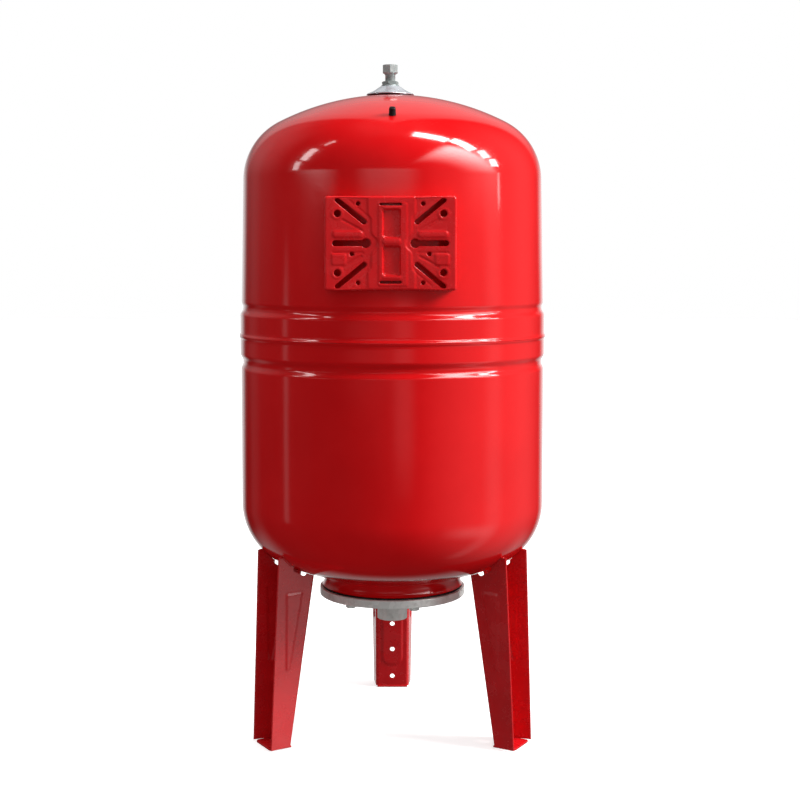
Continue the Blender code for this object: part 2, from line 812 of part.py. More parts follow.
def leg_drills():
    drills = []
    sideways = Euler((0, math.pi / 2, 0)).to_matrix().to_4x4()
    for z in LEG_HOLE_HEIGHTS:
        web = blend(LEG_WEB_AT_FLOOR, LEG_WEB_AT_TOP, z / LEG_TOP_Z)
        place = Matrix.Translation((web, 0, z)) @ sideways
        circle = polygon(LEG_HOLE_RADIUS, HOLE_SIDES)
        reach = LEG_HOLE_REACH / 2
        drills.append(prism("drill", circle, -reach, reach, place=place))
    foot = standing_rod(FOOT_HOLE_RADIUS, -FOOT_SHEET, 2 * FOOT_SHEET, FOOT_HOLE_FROM_AXIS)
    return drills + [foot]


def notch_cutter():
    """A long slot across both flanges, which leaves a window under the shell."""
    half = (NOTCH_LENGTH - 2 * NOTCH_DEPTH) / 2
    outline = stadium((-half, 0), (half, 0), 2 * NOTCH_DEPTH)
    stand = Euler((math.pi / 2, 0, 0)).to_matrix().to_4x4()
    tilt = Euler((0, -math.radians(NOTCH_SLOPE_DEG), 0)).to_matrix().to_4x4()
    place = Matrix.Translation((NOTCH_CENTRE[0], 0, NOTCH_CENTRE[1])) @ tilt @ stand
    return prism("cutter", outline, -2 * LEG_WEB_HALF, 2 * LEG_WEB_HALF, place=place)


def legs():
    """One leg shaped at +X, then three that share its mesh."""
    low = (FOOT_INNER, -FOOT_HALF, 0)
    foot = block("foot", low, (FOOT_OUTER, FOOT_HALF, FOOT_SHEET))
    leg = carve(leg_channel(), [foot], "UNION")
    gap = block("web_gap", WEB_GAP_LOW, WEB_GAP_HIGH)
    carve(leg, [shell_cutter(), notch_cutter(), gap, *leg_drills()])
    for name, heading in LEG_DIRECTIONS_DEG.items():
        copy = link(name, leg.data, None)
        copy.rotation_euler.z = math.radians(heading)
    bpy.data.objects.remove(leg, do_unlink=True)


# Mounting plate


def four_ways(point):
    return [(point[0] * across, point[1] * up) for across in (-1, 1) for up in (-1, 1)]


def plate_drill(outline):
    """A cutter through the plate's face, whose outline is in X and Z about its centre."""
    stand = Euler((math.pi / 2, 0, 0)).to_matrix().to_4x4()
    place = Matrix.Translation((PLATE_X, PLATE_FRONT_Y, PLATE_Z)) @ stand
    return prism("drill", outline, -2 * PLATE_SHEET, 2 * PLATE_SHEET, place=place)


def round_drill(centre, radius, sides=HOLE_SIDES):
    outline = [(centre[0] + x, centre[1] + y) for x, y in polygon(radius, sides)]
    return plate_drill(outline)


def plate_drills():
    drills = []
    for inner, outer in zip(four_ways(DIAGONAL_SLOT_INNER), four_ways(DIAGONAL_SLOT_OUTER)):
        drills.append(plate_drill(stadium(inner, outer, DIAGONAL_SLOT_WIDTH)))
    for across in (-1, 1):
        inner = (across * KEYHOLE_INNER, 0)
        outer = (across * KEYHOLE_OUTER, 0)
        drills.append(plate_drill(stadium(inner, outer, KEYHOLE_WIDTH)))
        drills.append(round_drill(inner, KEYHOLE_EYE_RADIUS))
        side_hole = (across * SIDE_HOLE[0], SIDE_HOLE[1])
        drills.append(round_drill(side_hole, SMALL_HOLE_RADIUS, SMALL_HOLE_SIDES))
    drills += [round_drill(centre, BIG_HOLE_RADIUS) for centre in four_ways(BIG_HOLE)]
    drills += [
        round_drill(centre, SMALL_HOLE_RADIUS, SMALL_HOLE_SIDES)
        for centre in four_ways(SMALL_HOLE)
    ]
    for up in (-1, 1):
        ends = [(way * CROSS_SLOT_HALF_LENGTH, up * CROSS_SLOT_Z) for way in (-1, 1)]
        drills.append(plate_drill(stadium(*ends, CROSS_SLOT_WIDTH, SMALL_SLOT_END_STEPS)))
    return drills


def rim_slits():
    """Slits that split each side rim into three tongues."""
    slits = []
    for across in (-1, 1):
        edge = PLATE_X + across * PLATE_HALF_WIDTH
        for up in (-1, 1):
            z = PLATE_Z + up * RIM_SLIT_Z
            low = (edge - RIM_SLIT_DEPTH, PLATE_FRONT_Y + RIM_SLIT_DEPTH, z - RIM_SLIT_HALF)
            high = (edge + RIM_SLIT_DEPTH, PLATE_BACK_Y + RIM_SLIT_DEPTH, z + RIM_SLIT_HALF)
            slits.append(block("slit", low, high))
    return slits


def tray_block(name, inset, front_y, back_y, material=None):
    low = (PLATE_X - PLATE_HALF_WIDTH + inset, front_y, PLATE_Z - PLATE_HALF_HEIGHT + inset)
    high = (PLATE_X + PLATE_HALF_WIDTH - inset, back_y, PLATE_Z + PLATE_HALF_HEIGHT - inset)
    return block(name, low, high, material)


def round_tray(tray):
    """Rounds the edges round the plate's face and down its corners."""
    bm = bmesh.new()
    bm.from_mesh(tray.data)
    edges = [
        edge
        for edge in bm.edges
        if min(vert.co.y for vert in edge.verts) < PLATE_FRONT_Y + GAP
    ]
    bmesh.ops.bevel(bm, geom=edges, offset=PLATE_EDGE, segments=2, profile=0.5, affect="EDGES")
    bm.to_mesh(tray.data)
    bm.free()


def side_cutter():
    """The upper shell's tapering side grown by the gap."""
    low = UPPER_GROOVE_Z + UPPER_GROOVE_HALF
    profile = [
        (0, UPPER_TANGENT_Z),
        (UPPER_RADIUS_HIGH + GAP, UPPER_TANGENT_Z),
        (UPPER_RADIUS_LOW + GAP, low),
        (0, low),
    ]
    return turned("cutter", profile, None, SHELL_SIDES, closed=False)


def mounting_plate():
    tray = tray_block("mounting_plate", 0, PLATE_FRONT_Y, PLATE_BACK_Y, red_sheet())
    round_tray(tray)
    hollow = tray_block("hollow", PLATE_SHEET, PLATE_FRONT_Y + PLATE_SHEET, 0)
    carve(tray, [hollow, side_cutter(), *rim_slits(), *plate_drills()])


def build():
    clear_scene()
    upper_shell()
    lower_shell()
    neck_ring()
    counter_flange()
    water_connection()
    flange_fasteners()
    membrane()
    top_fitting()
    air_valve()
    legs()
    mounting_plate()


build()
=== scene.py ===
"""Expansion vessel on three legs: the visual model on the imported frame.

Sizes are in metres in the CAD frame: +Z is up, the floor is z = 0, the mounting plate faces -Y.
"""

import math

import bmesh
import bpy
from mathutils import Euler, Matrix, Vector
from mathutils.geometry import delaunay_2d_cdt


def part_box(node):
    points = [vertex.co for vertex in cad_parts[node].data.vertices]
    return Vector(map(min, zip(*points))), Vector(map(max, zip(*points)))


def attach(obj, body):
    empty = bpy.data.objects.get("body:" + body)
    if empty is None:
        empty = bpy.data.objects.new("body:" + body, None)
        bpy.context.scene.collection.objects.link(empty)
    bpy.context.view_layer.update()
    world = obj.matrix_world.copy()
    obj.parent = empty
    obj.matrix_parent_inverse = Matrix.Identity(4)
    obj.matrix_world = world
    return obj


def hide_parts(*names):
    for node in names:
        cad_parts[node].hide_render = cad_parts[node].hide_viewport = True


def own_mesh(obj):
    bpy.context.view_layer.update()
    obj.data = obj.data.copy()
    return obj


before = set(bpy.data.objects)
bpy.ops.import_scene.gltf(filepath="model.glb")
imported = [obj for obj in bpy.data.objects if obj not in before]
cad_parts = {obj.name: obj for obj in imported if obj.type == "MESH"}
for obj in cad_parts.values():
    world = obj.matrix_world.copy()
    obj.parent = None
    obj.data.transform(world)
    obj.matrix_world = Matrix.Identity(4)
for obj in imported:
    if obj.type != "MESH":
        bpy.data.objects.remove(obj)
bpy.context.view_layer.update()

SHELL_SIDES = 224
TURNED_SIDES = 96
SMALL_SIDES = 48

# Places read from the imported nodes
upper_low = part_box("upper_shell")[0]
lower_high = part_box("lower_shell")[1]
flange_low, flange_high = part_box("counter_flange")
socket_low, socket_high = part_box("water_connection")
stud_low, stud_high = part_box("flange_stud_1")
cone_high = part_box("top_cone")[1]
plug_low, plug_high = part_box("top_plug")
plate_low, plate_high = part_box("mounting_plate")

FITTING_X = (plug_low.x + plug_high.x) / 2
PLATE_X = (plate_low.x + plate_high.x) / 2
PLATE_Z = (plate_low.z + plate_high.z) / 2
PLATE_FRONT = plate_low.y

# Pressure shell
WALL = 0.0015
BAND = 0.226
LOWER_RADIUS = 0.225
UPPER_FOOT_RADIUS = 0.224
UPPER_RADIUS = 0.2206
UPPER_TANGENT_Z = 0.8207
UPPER_KNUCKLE = 0.0949
UPPER_CROWN = 0.3683
UPPER_CROWN_Z = 0.5779
LOWER_TANGENT_Z = 0.343
LOWER_KNUCKLE = 0.095
LOWER_CROWN = 0.439
LOWER_CROWN_Z = 0.6615
# Rolled grooves: (height, half width, depth)
UPPER_GROOVE = (0.632, 0.0098, 0.0029)
LOWER_GROOVE = (0.5540, 0.0115, 0.0036)
SEAM_RISE = 0.0016
SEAM_HALF = 0.0048

# How much of a hexagon's width across flats its flat end face takes
FLAT_SHARE = 0.965

# Weld beads: how far the ripple turns from one point to the next, and the size of a bead's tip
RIPPLE_TURN = 1.9
BEAD_TIP = 0.05


# Shapes


def blend(start, end, share):
    return start + (end - start) * share


def smooth(low, high, value):
    """0 before low, 1 after high and an even S between them."""
    share = min(max((value - low) / (high - low), 0.0), 1.0)
    return share * share * (3 - 2 * share)


def shares(count):
    """0 to 1 in even steps."""
    return [i / count for i in range(count + 1)]


def tooth(turns):
    """A triangle wave from 1 to 0 and back, once a turn."""
    return abs(2 * (turns % 1.0) - 1)


def placed(name, data):
    """A new object in the scene."""
    obj = bpy.data.objects.new(name, data)
    bpy.context.scene.collection.objects.link(obj)
    return obj


def dropped(*objects):
    for obj in objects:
        bpy.data.objects.remove(obj, do_unlink=True)


def made(name, verts, faces, finish, sharp=35):
    """An object from vertices and faces, smooth but for edges sharper than an angle."""
    mesh = bpy.data.meshes.new(name)
    mesh.from_pydata(verts, [], faces)
    mesh.validate()
    outward(mesh)
    mesh.shade_smooth()
    mesh.set_sharp_from_angle(angle=math.radians(sharp))
    mesh.materials.append(finish)
    return placed(name, mesh)


def outward(mesh):
    """Merges vertices in one place and turns the faces outwards."""
    bm = bmesh.new()
    bm.from_mesh(mesh)
    bmesh.ops.remove_doubles(bm, verts=bm.verts, dist=0.0000005)
    bmesh.ops.recalc_face_normals(bm, faces=bm.faces)
    bm.to_mesh(mesh)
    bm.free()


def skin(rows, closed=True):
    """Quads between rings of vertex numbers; a ring of one vertex makes a fan."""
    pairs = list(zip(rows, rows[1:]))
    if closed:
        pairs.append((rows[-1], rows[0]))
    faces = []
    for low, high in pairs:
        sides = max(len(low), len(high))
        for k in range(sides):
            n = (k + 1) % sides
            ring = [low[k % len(low)], low[n % len(low)], high[n % len(high)], high[k % len(high)]]
            ring = [vert for i, vert in enumerate(ring) if vert != ring[i - 1]]
            if len(ring) > 2:
                faces.append(ring)
    return faces


def turned(name, profile, finish, sides=TURNED_SIDES, closed=True, sharp=35, pitch=0.001, ribs=None):
    """A body turned about Z. A profile point is (radius, z), or (radius, z, cut) on a thread.

    Ribs are given as how many, the radius they start from and their depth.
    """
    verts = []
    rows = []
    for point in profile:
        radius, z = point[:2]
        cut = point[2] if len(point) > 2 else 0.0
        if radius < 0.000001:
            rows.append([len(verts)])
            verts.append((0, 0, z))
            continue
        rows.append(range(len(verts), len(verts) + sides))
        for k in range(sides):
            angle = math.tau * k / sides
            reach = radius + cut * tooth(z / pitch - k / sides)
            if ribs and radius > ribs[1]:
                reach -= ribs[2] * tooth(ribs[0] * k / sides) ** 2
            verts.append((reach * math.cos(angle), reach * math.sin(angle), z))
    return made(name, verts, skin([list(row) for row in rows], closed), finish, sharp)


def softened(profile, size, closed=True, steps=3):
    """The profile with its corners rounded off by up to size."""
    out = []
    count = len(profile)
    for i, corner in enumerate(profile):
        here = Vector(corner[:2])
        before = Vector(profile[i - 1][:2]) - here
        after = Vector(profile[(i + 1) % count][:2]) - here
        end = not closed and i in (0, count - 1)
        if end or len(corner) > 2 or min(before.length, after.length) < 0.000001:
            out.append(corner)
            continue
        if before.angle(after) > math.radians(165):
            out.append(corner)
            continue
        reach = min(size, 0.45 * before.length, 0.45 * after.length)
        first = here + before.normalized() * reach
        last = here + after.normalized() * reach
        for share in shares(steps):
            out.append(tuple(first.lerp(here, share).lerp(here.lerp(last, share), share)))
    return out


def ring_profile(inner, outer, low, high):
    return [(inner, low), (outer, low), (outer, high), (inner, high)]


def thread_run(radius, start, end, cut, pitch, steps=8):
    """Profile points down a thread, which fades in and out at its ends."""
    count = max(int(abs(end - start) / pitch * steps), 4)
    points = []
    for share in shares(count):
        z = blend(start, end, share)
        edge = min(abs(z - start), abs(z - end))
        points.append((radius, z, cut * smooth(0, pitch, edge)))
    return points


def hexagon_body(name, across, low, high, bore, finish, turn=0.0, chamfer=0.55, per_side=16):
    """A hexagon bar with the corners of both ends turned off at 30 degrees."""
    sides = 6 * per_side
    inner = across / 2 * FLAT_SHARE
    rings = [(bore, low), (inner, low), "down", "up", (inner, high), (bore, high)]
    verts = []
    rows = []
    for ring in rings:
        if ring not in ("down", "up") and ring[0] == 0:
            rows.append([len(verts)])
            verts.append((0, 0, ring[1]))
            continue
        rows.append(list(range(len(verts), len(verts) + sides)))
        for k in range(sides):
            angle = math.tau * k / sides
            local = (k % per_side) / per_side * math.pi / 3 - math.pi / 6
            if ring in ("down", "up"):
                radius = across / 2 / math.cos(local)
                drop = (radius - inner) * chamfer
                z = low + drop if ring == "down" else high - drop
            else:
                radius, z = ring
            way = angle + turn
            verts.append((radius * math.cos(way), radius * math.sin(way), z))
    return made(name, verts, skin(rows, bore > 0), finish, 24)


def carve(body, cutters):
    """Cuts the cutters out of the body and removes them."""
    for cutter in cutters:
        step = body.modifiers.new("carve", "BOOLEAN")
        step.operation = "DIFFERENCE"
        step.object = cutter
    bpy.context.view_layer.update()
    graph = bpy.context.evaluated_depsgraph_get()
    shaped = bpy.data.meshes.new_from_object(body.evaluated_get(graph))
    body.modifiers.clear()
    body.data = shaped
    dropped(*cutters)
    return body


def prism(outline, low, high, place=None):
    """A cutter: an outline in X and Y raised from low to high and put in place by a matrix."""
    count = len(outline)
    verts = [Vector((x, y, z)) for z in (low, high) for x, y in outline]
    if place:
        verts = [place @ vert for vert in verts]
    rows = [list(range(count)), list(range(count, 2 * count))]
    faces = skin(rows, False) + [rows[0][::-1], rows[1]]
    return made("cutter", verts, faces, None)


def circle(radius, sides=32, centre=(0.0, 0.0)):
    turn = math.tau / sides
    return [
        (centre[0] + radius * math.cos(turn * k), centre[1] + radius * math.sin(turn * k))
        for k in range(sides)
    ]


def stadium(start, end, width, steps=10):
    """The outline of a slot: two half circles joined by straight sides."""
    heading = math.atan2(end[1] - start[1], end[0] - start[0])
    points = []
    for centre, turn in ((end, heading - math.pi / 2), (start, heading + math.pi / 2)):
        for share in shares(steps):
            angle = turn + math.pi * share
            x = centre[0] + width / 2 * math.cos(angle)
            points.append((x, centre[1] + width / 2 * math.sin(angle)))
    return points


def bead(points, radius, sides=10, ripple=0.12, close=False):
    """Vertices and faces of a weld bead along points, with the small ripples of its pool."""
    verts = []
    rows = []
    count = len(points)
    for i, point in enumerate(points):
        here = Vector(point)
        before = Vector(points[i - 1] if i or close else point)
        after = Vector(points[(i + 1) % count] if i < count - 1 or close else point)
        along = (after - before).normalized()
        side = along.cross(Vector((0, 0, 1))).normalized()
        up = side.cross(along)
        end = 1.0 if close else smooth(0, 2, i) * smooth(0, 2, count - 1 - i)
        size = radius * (1 + ripple * math.sin(i * RIPPLE_TURN)) * max(end, BEAD_TIP)
        rows.append(list(range(len(verts), len(verts) + sides)))
        for k in range(sides):
            angle = math.tau * k / sides
            verts.append(here + side * size * math.cos(angle) + up * size * math.sin(angle))
    faces = skin(rows, close)
    if not close:
        faces += [rows[0][::-1], rows[-1]]
    return verts, faces


def stand_in(piece, nodes, body="vessel"):
    """The piece rides a body and replaces CAD nodes."""
    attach(piece, body)
    if nodes:
        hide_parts(*nodes)


# Finishes


class Nodes:
    """A node tree with short ways to add to it."""

    def __init__(self, tree):
        self.tree = tree

    def add(self, kind, **settings):
        node = self.tree.nodes.new(kind)
        for key, value in settings.items():
            setattr(node, key, value)
        return node

    def wire(self, source, target):
        self.tree.links.new(source, target)

    def feed(self, sockets, values):
        """Gives each socket its value: a number, a colour or another node's output."""
        for socket, value in zip(sockets, values):
            if isinstance(value, bpy.types.NodeSocket):
                self.wire(value, socket)
            elif isinstance(value, tuple):
                socket.default_value = (*value, 1)
            else:
                socket.default_value = value

    def maths(self, operation, *values):
        node = self.add("ShaderNodeMath", operation=operation)
        self.feed(node.inputs, values)
        return node.outputs["Value"]

    def product(self, whole, *others):
        for other in others:
            whole = self.maths("MULTIPLY", whole, other)
        return whole

    def span(self, source, low, high, to_low=0.0, to_high=1.0):
        """An even S from to_low to to_high while the source goes from low to high."""
        node = self.add("ShaderNodeMapRange", interpolation_type="SMOOTHSTEP")
        self.feed(node.inputs, (source, low, high, to_low, to_high))
        return node.outputs["Result"]

    def mix(self, kind, share, first, second):
        """Between two values of a kind, FLOAT or RGBA."""
        node = self.add("ShaderNodeMix", data_type=kind)
        start, result = {"FLOAT": (2, 0), "RGBA": (6, 2)}[kind]
        sockets = (node.inputs[0], node.inputs[start], node.inputs[start + 1])
        self.feed(sockets, (share, first, second))
        return node.outputs[result]


class Finish(Nodes):
    """A Principled material built in object space, in metres."""

    def __init__(self, name, **constants):
        self.material = bpy.data.materials.new(name)
        self.material.use_nodes = True
        super().__init__(self.material.node_tree)
        self.shader = self.tree.nodes["Principled BSDF"]
        self.place = self.add("ShaderNodeTexCoord").outputs["Object"]
        self.normal = None
        for key, value in constants.items():
            self.shader.inputs[key.replace("_", " ")].default_value = value

    def noise(self, scale, detail=3.0, rough=0.5, stretch=(1, 1, 1)):
        place = self.add("ShaderNodeMapping")
        self.wire(self.place, place.inputs["Vector"])
        place.inputs["Scale"].default_value = stretch
        node = self.add("ShaderNodeTexNoise")
        self.wire(place.outputs["Vector"], node.inputs["Vector"])
        node.inputs["Scale"].default_value = scale
        node.inputs["Detail"].default_value = detail
        node.inputs["Roughness"].default_value = rough
        return node.outputs["Fac"]

    def cells(self, scale, output):
        node = self.add("ShaderNodeTexVoronoi")
        self.wire(self.place, node.inputs["Vector"])
        node.inputs["Scale"].default_value = scale
        return node.outputs[output]

    def edges(self, radius):
        """1 on sharp outside edges, 0 on flat faces."""
        round_off = self.add("ShaderNodeBevel", samples=6)
        round_off.inputs["Radius"].default_value = radius
        flat = self.add("ShaderNodeNewGeometry").outputs["Normal"]
        dot = self.add("ShaderNodeVectorMath", operation="DOT_PRODUCT")
        self.wire(round_off.outputs["Normal"], dot.inputs[0])
        self.wire(flat, dot.inputs[1])
        return self.span(dot.outputs["Value"], 0.98, 0.8)

    def base(self, source, limits, first, second):
        """The base colour: between two colours as the source crosses its limits."""
        self.color = self.mix("RGBA", self.span(source, *limits), first, second)

    def marks(self, mask, share, paint):
        """Lays a colour over the base by a share of the mask."""
        self.color = self.mix("RGBA", self.product(mask, share), self.color, paint)

    def bump(self, height, distance):
        node = self.add("ShaderNodeBump")
        node.inputs["Strength"].default_value = 1.0
        node.inputs["Distance"].default_value = distance
        self.wire(height, node.inputs["Height"])
        if self.normal:
            self.wire(self.normal, node.inputs["Normal"])
        self.normal = node.outputs["Normal"]

    def done(self, roughness):
        self.wire(self.color, self.shader.inputs["Base Color"])
        self.wire(roughness, self.shader.inputs["Roughness"])
        if self.normal:
            self.wire(self.normal, self.shader.inputs["Normal"])
        return self.material


def red_enamel():
    """Stoved gloss enamel: slow ripples of the sheet, orange peel, specks and wipe marks."""
    f = Finish("red_enamel", Coat_Weight=0.6, Coat_Roughness=0.035, Specular_IOR_Level=0.3)
    f.base(f.noise(7, 4, 0.6), (0.3, 0.7), (0.66, 0.0048, 0.0066), (0.72, 0.0064, 0.0084))
    specks = f.span(f.cells(160, "Distance"), 0.035, 0.02)
    rare = f.span(f.noise(22, 2), 0.60, 0.66)
    f.marks(specks, rare, (0.34, 0.004, 0.006))
    f.bump(f.noise(7, 2, 0.4, (1, 1, 0.6)), 0.0007)
    f.bump(f.noise(55, 2, 0.5), 0.00003)
    f.bump(f.noise(620, 2, 0.5), 0.000012)
    f.wire(f.normal, f.shader.inputs["Coat Normal"])
    wiped = f.span(f.noise(9, 5, 0.65, (1, 1, 0.25)), 0.3, 0.75, 0.10, 0.19)
    scuffs = f.span(f.noise(60, 6, 0.7, (1, 1, 5)), 0.60, 0.74)
    return f.done(f.maths("ADD", wiped, f.product(scuffs, 0.08)))


def red_sheet(name, deep, pale, gloss):
    """Powder coat on pressed sheet: orange peel, faint darker blotches of dirt, and paler edges that
    are partly paint worn thin and partly a painted highlight.
    """
    f = Finish(name, Coat_Weight=gloss, Coat_Roughness=0.10, Specular_IOR_Level=2 * gloss)
    f.base(f.noise(18, 5, 0.6), (0.3, 0.7), deep, pale)
    f.marks(f.span(f.noise(75, 6, 0.7), 0.58, 0.78), 0.12, (0.22, 0.006, 0.007))
    # Paler edges: partly paint worn thin, partly a painted highlight where the sharp edges catch the
    # light.
    worn_and_highlit = f.product(f.edges(0.0012), f.span(f.noise(140, 5, 0.6), 0.35, 0.6))
    f.marks(worn_and_highlit, 0.25, (0.76, 0.060, 0.058))
    f.bump(f.noise(24, 3, 0.5), 0.0003)
    f.bump(f.noise(520, 3, 0.5), 0.000015)
    return f.done(f.span(f.noise(40, 5, 0.65), 0.3, 0.75, 0.20, 0.34))


def zinc_steel():
    """Zinc-plated flange and fasteners: soft spangle, dull blotches and fine pitting."""
    f = Finish("zinc_steel", Metallic=0.2, Specular_IOR_Level=0.5)
    f.base(f.cells(150, "Color"), (0.2, 0.9), (0.80, 0.82, 0.79), (0.90, 0.92, 0.89))
    f.marks(f.span(f.noise(38, 6, 0.7), 0.5, 0.75), 0.45, (0.42, 0.42, 0.38))
    f.marks(f.span(f.noise(95, 5, 0.7), 0.66, 0.76), 0.45, (0.22, 0.13, 0.08))
    f.bump(f.noise(260, 4, 0.6), 0.00009)
    f.bump(f.noise(1400, 2), 0.00002)
    return f.done(f.span(f.noise(80, 5, 0.6), 0.25, 0.75, 0.36, 0.56))


def fitting_steel():
    """Electroplated plug, nut and stem, with dull patches and tool marks."""
    f = Finish("dark_steel", Metallic=0.15)
    f.base(f.noise(120, 5, 0.6), (0.3, 0.7), (0.215, 0.252, 0.244), (0.30, 0.342, 0.333))
    f.marks(f.span(f.noise(210, 6, 0.7), 0.55, 0.75), 0.5, (0.16, 0.15, 0.13))
    f.marks(f.edges(0.0005), 0.5, (0.74, 0.75, 0.76))
    f.bump(f.noise(900, 3, 0.6), 0.00002)
    return f.done(f.span(f.noise(160, 4, 0.6), 0.25, 0.75, 0.24, 0.42))


def bright_steel():
    """Polished and plated, with the fine rings that turning left."""
    f = Finish("bright_steel", Metallic=0.7)
    rings = f.noise(1, 2, 0.5, (30, 30, 5200))
    f.base(rings, (0.3, 0.7), (0.84, 0.87, 0.93), (0.91, 0.94, 0.99))
    f.marks(f.span(f.noise(130, 5, 0.65), 0.45, 0.75), 0.3, (0.55, 0.56, 0.60))
    f.bump(rings, 0.000012)
    f.bump(f.noise(320, 3), 0.00001)
    return f.done(f.span(f.noise(90, 5, 0.6), 0.3, 0.75, 0.14, 0.28))


def brass():
    """Turned brass, dulled in patches."""
    f = Finish("brass", Metallic=1.0)
    f.base(f.noise(260, 5, 0.6), (0.3, 0.7), (0.60, 0.42, 0.16), (0.80, 0.60, 0.28))
    f.marks(f.span(f.noise(420, 5, 0.7), 0.55, 0.75), 0.5, (0.25, 0.17, 0.08))
    f.bump(f.noise(1600, 2), 0.00001)
    return f.done(f.span(f.noise(350, 4), 0.3, 0.7, 0.18, 0.36))


def rubber():
    """Black rubber with a greyish bloom."""
    f = Finish("rubber", Specular_IOR_Level=0.35)
    f.base(f.noise(60, 5, 0.6), (0.3, 0.7), (0.012, 0.012, 0.012), (0.026, 0.025, 0.024))
    f.marks(f.span(f.noise(150, 6, 0.7), 0.55, 0.8), 0.5, (0.07, 0.068, 0.062))
    f.bump(f.noise(700, 3, 0.6), 0.00005)
    return f.done(f.span(f.noise(110, 4), 0.3, 0.7, 0.55, 0.8))


def black_plastic():
    """Moulded black plastic, rubbed paler on its edges."""
    f = Finish("black_plastic", Specular_IOR_Level=0.3)
    f.base(f.noise(300, 4), (0.3, 0.7), (0.006, 0.005, 0.005), (0.013, 0.011, 0.011))
    f.marks(f.edges(0.0003), 0.4, (0.045, 0.043, 0.041))
    f.bump(f.noise(2600, 2, 0.6), 0.00001)
    return f.done(f.span(f.noise(500, 4, 0.6), 0.3, 0.7, 0.3, 0.5))


enamel = red_enamel()
sheet = red_sheet("red_sheet", (0.58, 0.0055, 0.0085), (0.66, 0.0075, 0.0115), 0.35)
plate_coat = red_sheet("red_plate", (0.66, 0.0058, 0.0085), (0.73, 0.0078, 0.0112), 0.18)
zinc = zinc_steel()
steel = fitting_steel()
chrome = bright_steel()
yellow = brass()
black = rubber()
plastic = black_plastic()


# Pressure shell


def dish(radius, knuckle, crown, tangent_z, crown_z, up, hole, grow=0.0, fine=(28, 34)):
    """A dished end from its tangent line to its hole: a knuckle arc, then a crown arc."""
    centre = radius - knuckle
    meet = math.asin(centre / (crown - knuckle))
    edge = math.asin(hole / (crown + grow))
    points = []
    reach = knuckle + grow
    for share in shares(fine[0]):
        angle = blend(math.pi / 2, meet, share)
        points.append((centre + reach * math.sin(angle), tangent_z + up * reach * math.cos(angle)))
    reach = crown + grow
    for share in shares(fine[1])[1:]:
        angle = blend(meet, edge, share)
        points.append((reach * math.sin(angle), crown_z + up * reach * math.cos(angle)))
    return points


def groove(z, far_radius, groove_z, half, depth, up):
    """Radius near a rolled groove, which lies between the middle band and the plain side."""
    place = up * (z - groove_z) / half
    level = blend(BAND, far_radius, smooth(-1, 1, place))
    return level - depth * (1 - smooth(0.12, 1.0, abs(place)))


def side_points(start, groove_spec, far_radius, up):
    """From the seam's ridge across the band and the groove to the plain side."""
    points = []
    for share in shares(6):
        lift = SEAM_RISE * (1 - smooth(0.1, 1.0, share))
        points.append((BAND + lift, start + up * SEAM_HALF * share))
    groove_z, half, depth = groove_spec
    begin = groove_z - up * half * 1.25
    for i in range(3):
        points.append((BAND, blend(start + up * (SEAM_HALF + 0.004), begin, i / 3)))
    for share in shares(30):
        z = blend(begin, groove_z + up * half * 1.25, share)
        points.append((groove(z, far_radius, groove_z, half, depth, up), z))
    return points


def upper_shell():
    outside = side_points(upper_low.z, UPPER_GROOVE, UPPER_FOOT_RADIUS, 1)
    top = outside[-1][1]
    for share in shares(12)[1:-1]:
        z = blend(top, UPPER_TANGENT_Z, share)
        outside.append((blend(UPPER_FOOT_RADIUS, UPPER_RADIUS, share), z))
    head = (UPPER_RADIUS, UPPER_KNUCKLE, UPPER_CROWN, UPPER_TANGENT_Z, UPPER_CROWN_Z, 1, 0.0125)
    outside += dish(*head)
    inside = [(UPPER_FOOT_RADIUS - WALL - 0.003, upper_low.z + 0.01)]
    inside = [(BAND - WALL, upper_low.z), *inside, *dish(*head, -WALL, (8, 8))]
    return turned("shell_upper", outside + inside[::-1], enamel, SHELL_SIDES, sharp=50)


def lower_shell():
    outside = side_points(lower_high.z, LOWER_GROOVE, LOWER_RADIUS, -1)
    foot = outside[-1][1]
    for share in shares(12)[1:-1]:
        outside.append((LOWER_RADIUS, blend(foot, LOWER_TANGENT_Z, share)))
    head = (LOWER_RADIUS, LOWER_KNUCKLE, LOWER_CROWN, LOWER_TANGENT_Z, LOWER_CROWN_Z, -1, 0.070)
    outside += dish(*head)
    inside = [(LOWER_RADIUS - WALL - 0.004, lower_high.z - 0.01)]
    inside = [(BAND - WALL, lower_high.z), *inside, *dish(*head, -WALL, (8, 8))]
    return turned("shell_lower", outside + inside[::-1], enamel, SHELL_SIDES, sharp=50)


def lower_dome_z(radius):
    """Height of the lower dome's outside at a distance from the axis."""
    centre = LOWER_RADIUS - LOWER_KNUCKLE
    meet = math.asin(centre / (LOWER_CROWN - LOWER_KNUCKLE))
    if radius < LOWER_CROWN * math.sin(meet):
        return LOWER_CROWN_Z - math.sqrt(LOWER_CROWN**2 - radius**2)
    out = min(radius - centre, LOWER_KNUCKLE)
    return LOWER_TANGENT_Z - math.sqrt(LOWER_KNUCKLE**2 - out**2)


def upper_dome_z(radius):
    return UPPER_CROWN_Z + math.sqrt(UPPER_CROWN**2 - radius**2)


stand_in(upper_shell(), ["upper_shell"])
stand_in(lower_shell(), ["lower_shell"])


# Neck, flange and fasteners

NECK_TOP = 0.106
NECK_FOOT = 0.1055
NECK_WAIST = 0.0035
NECK_BORE = 0.072
NECK_FOOT_Z = 0.2157


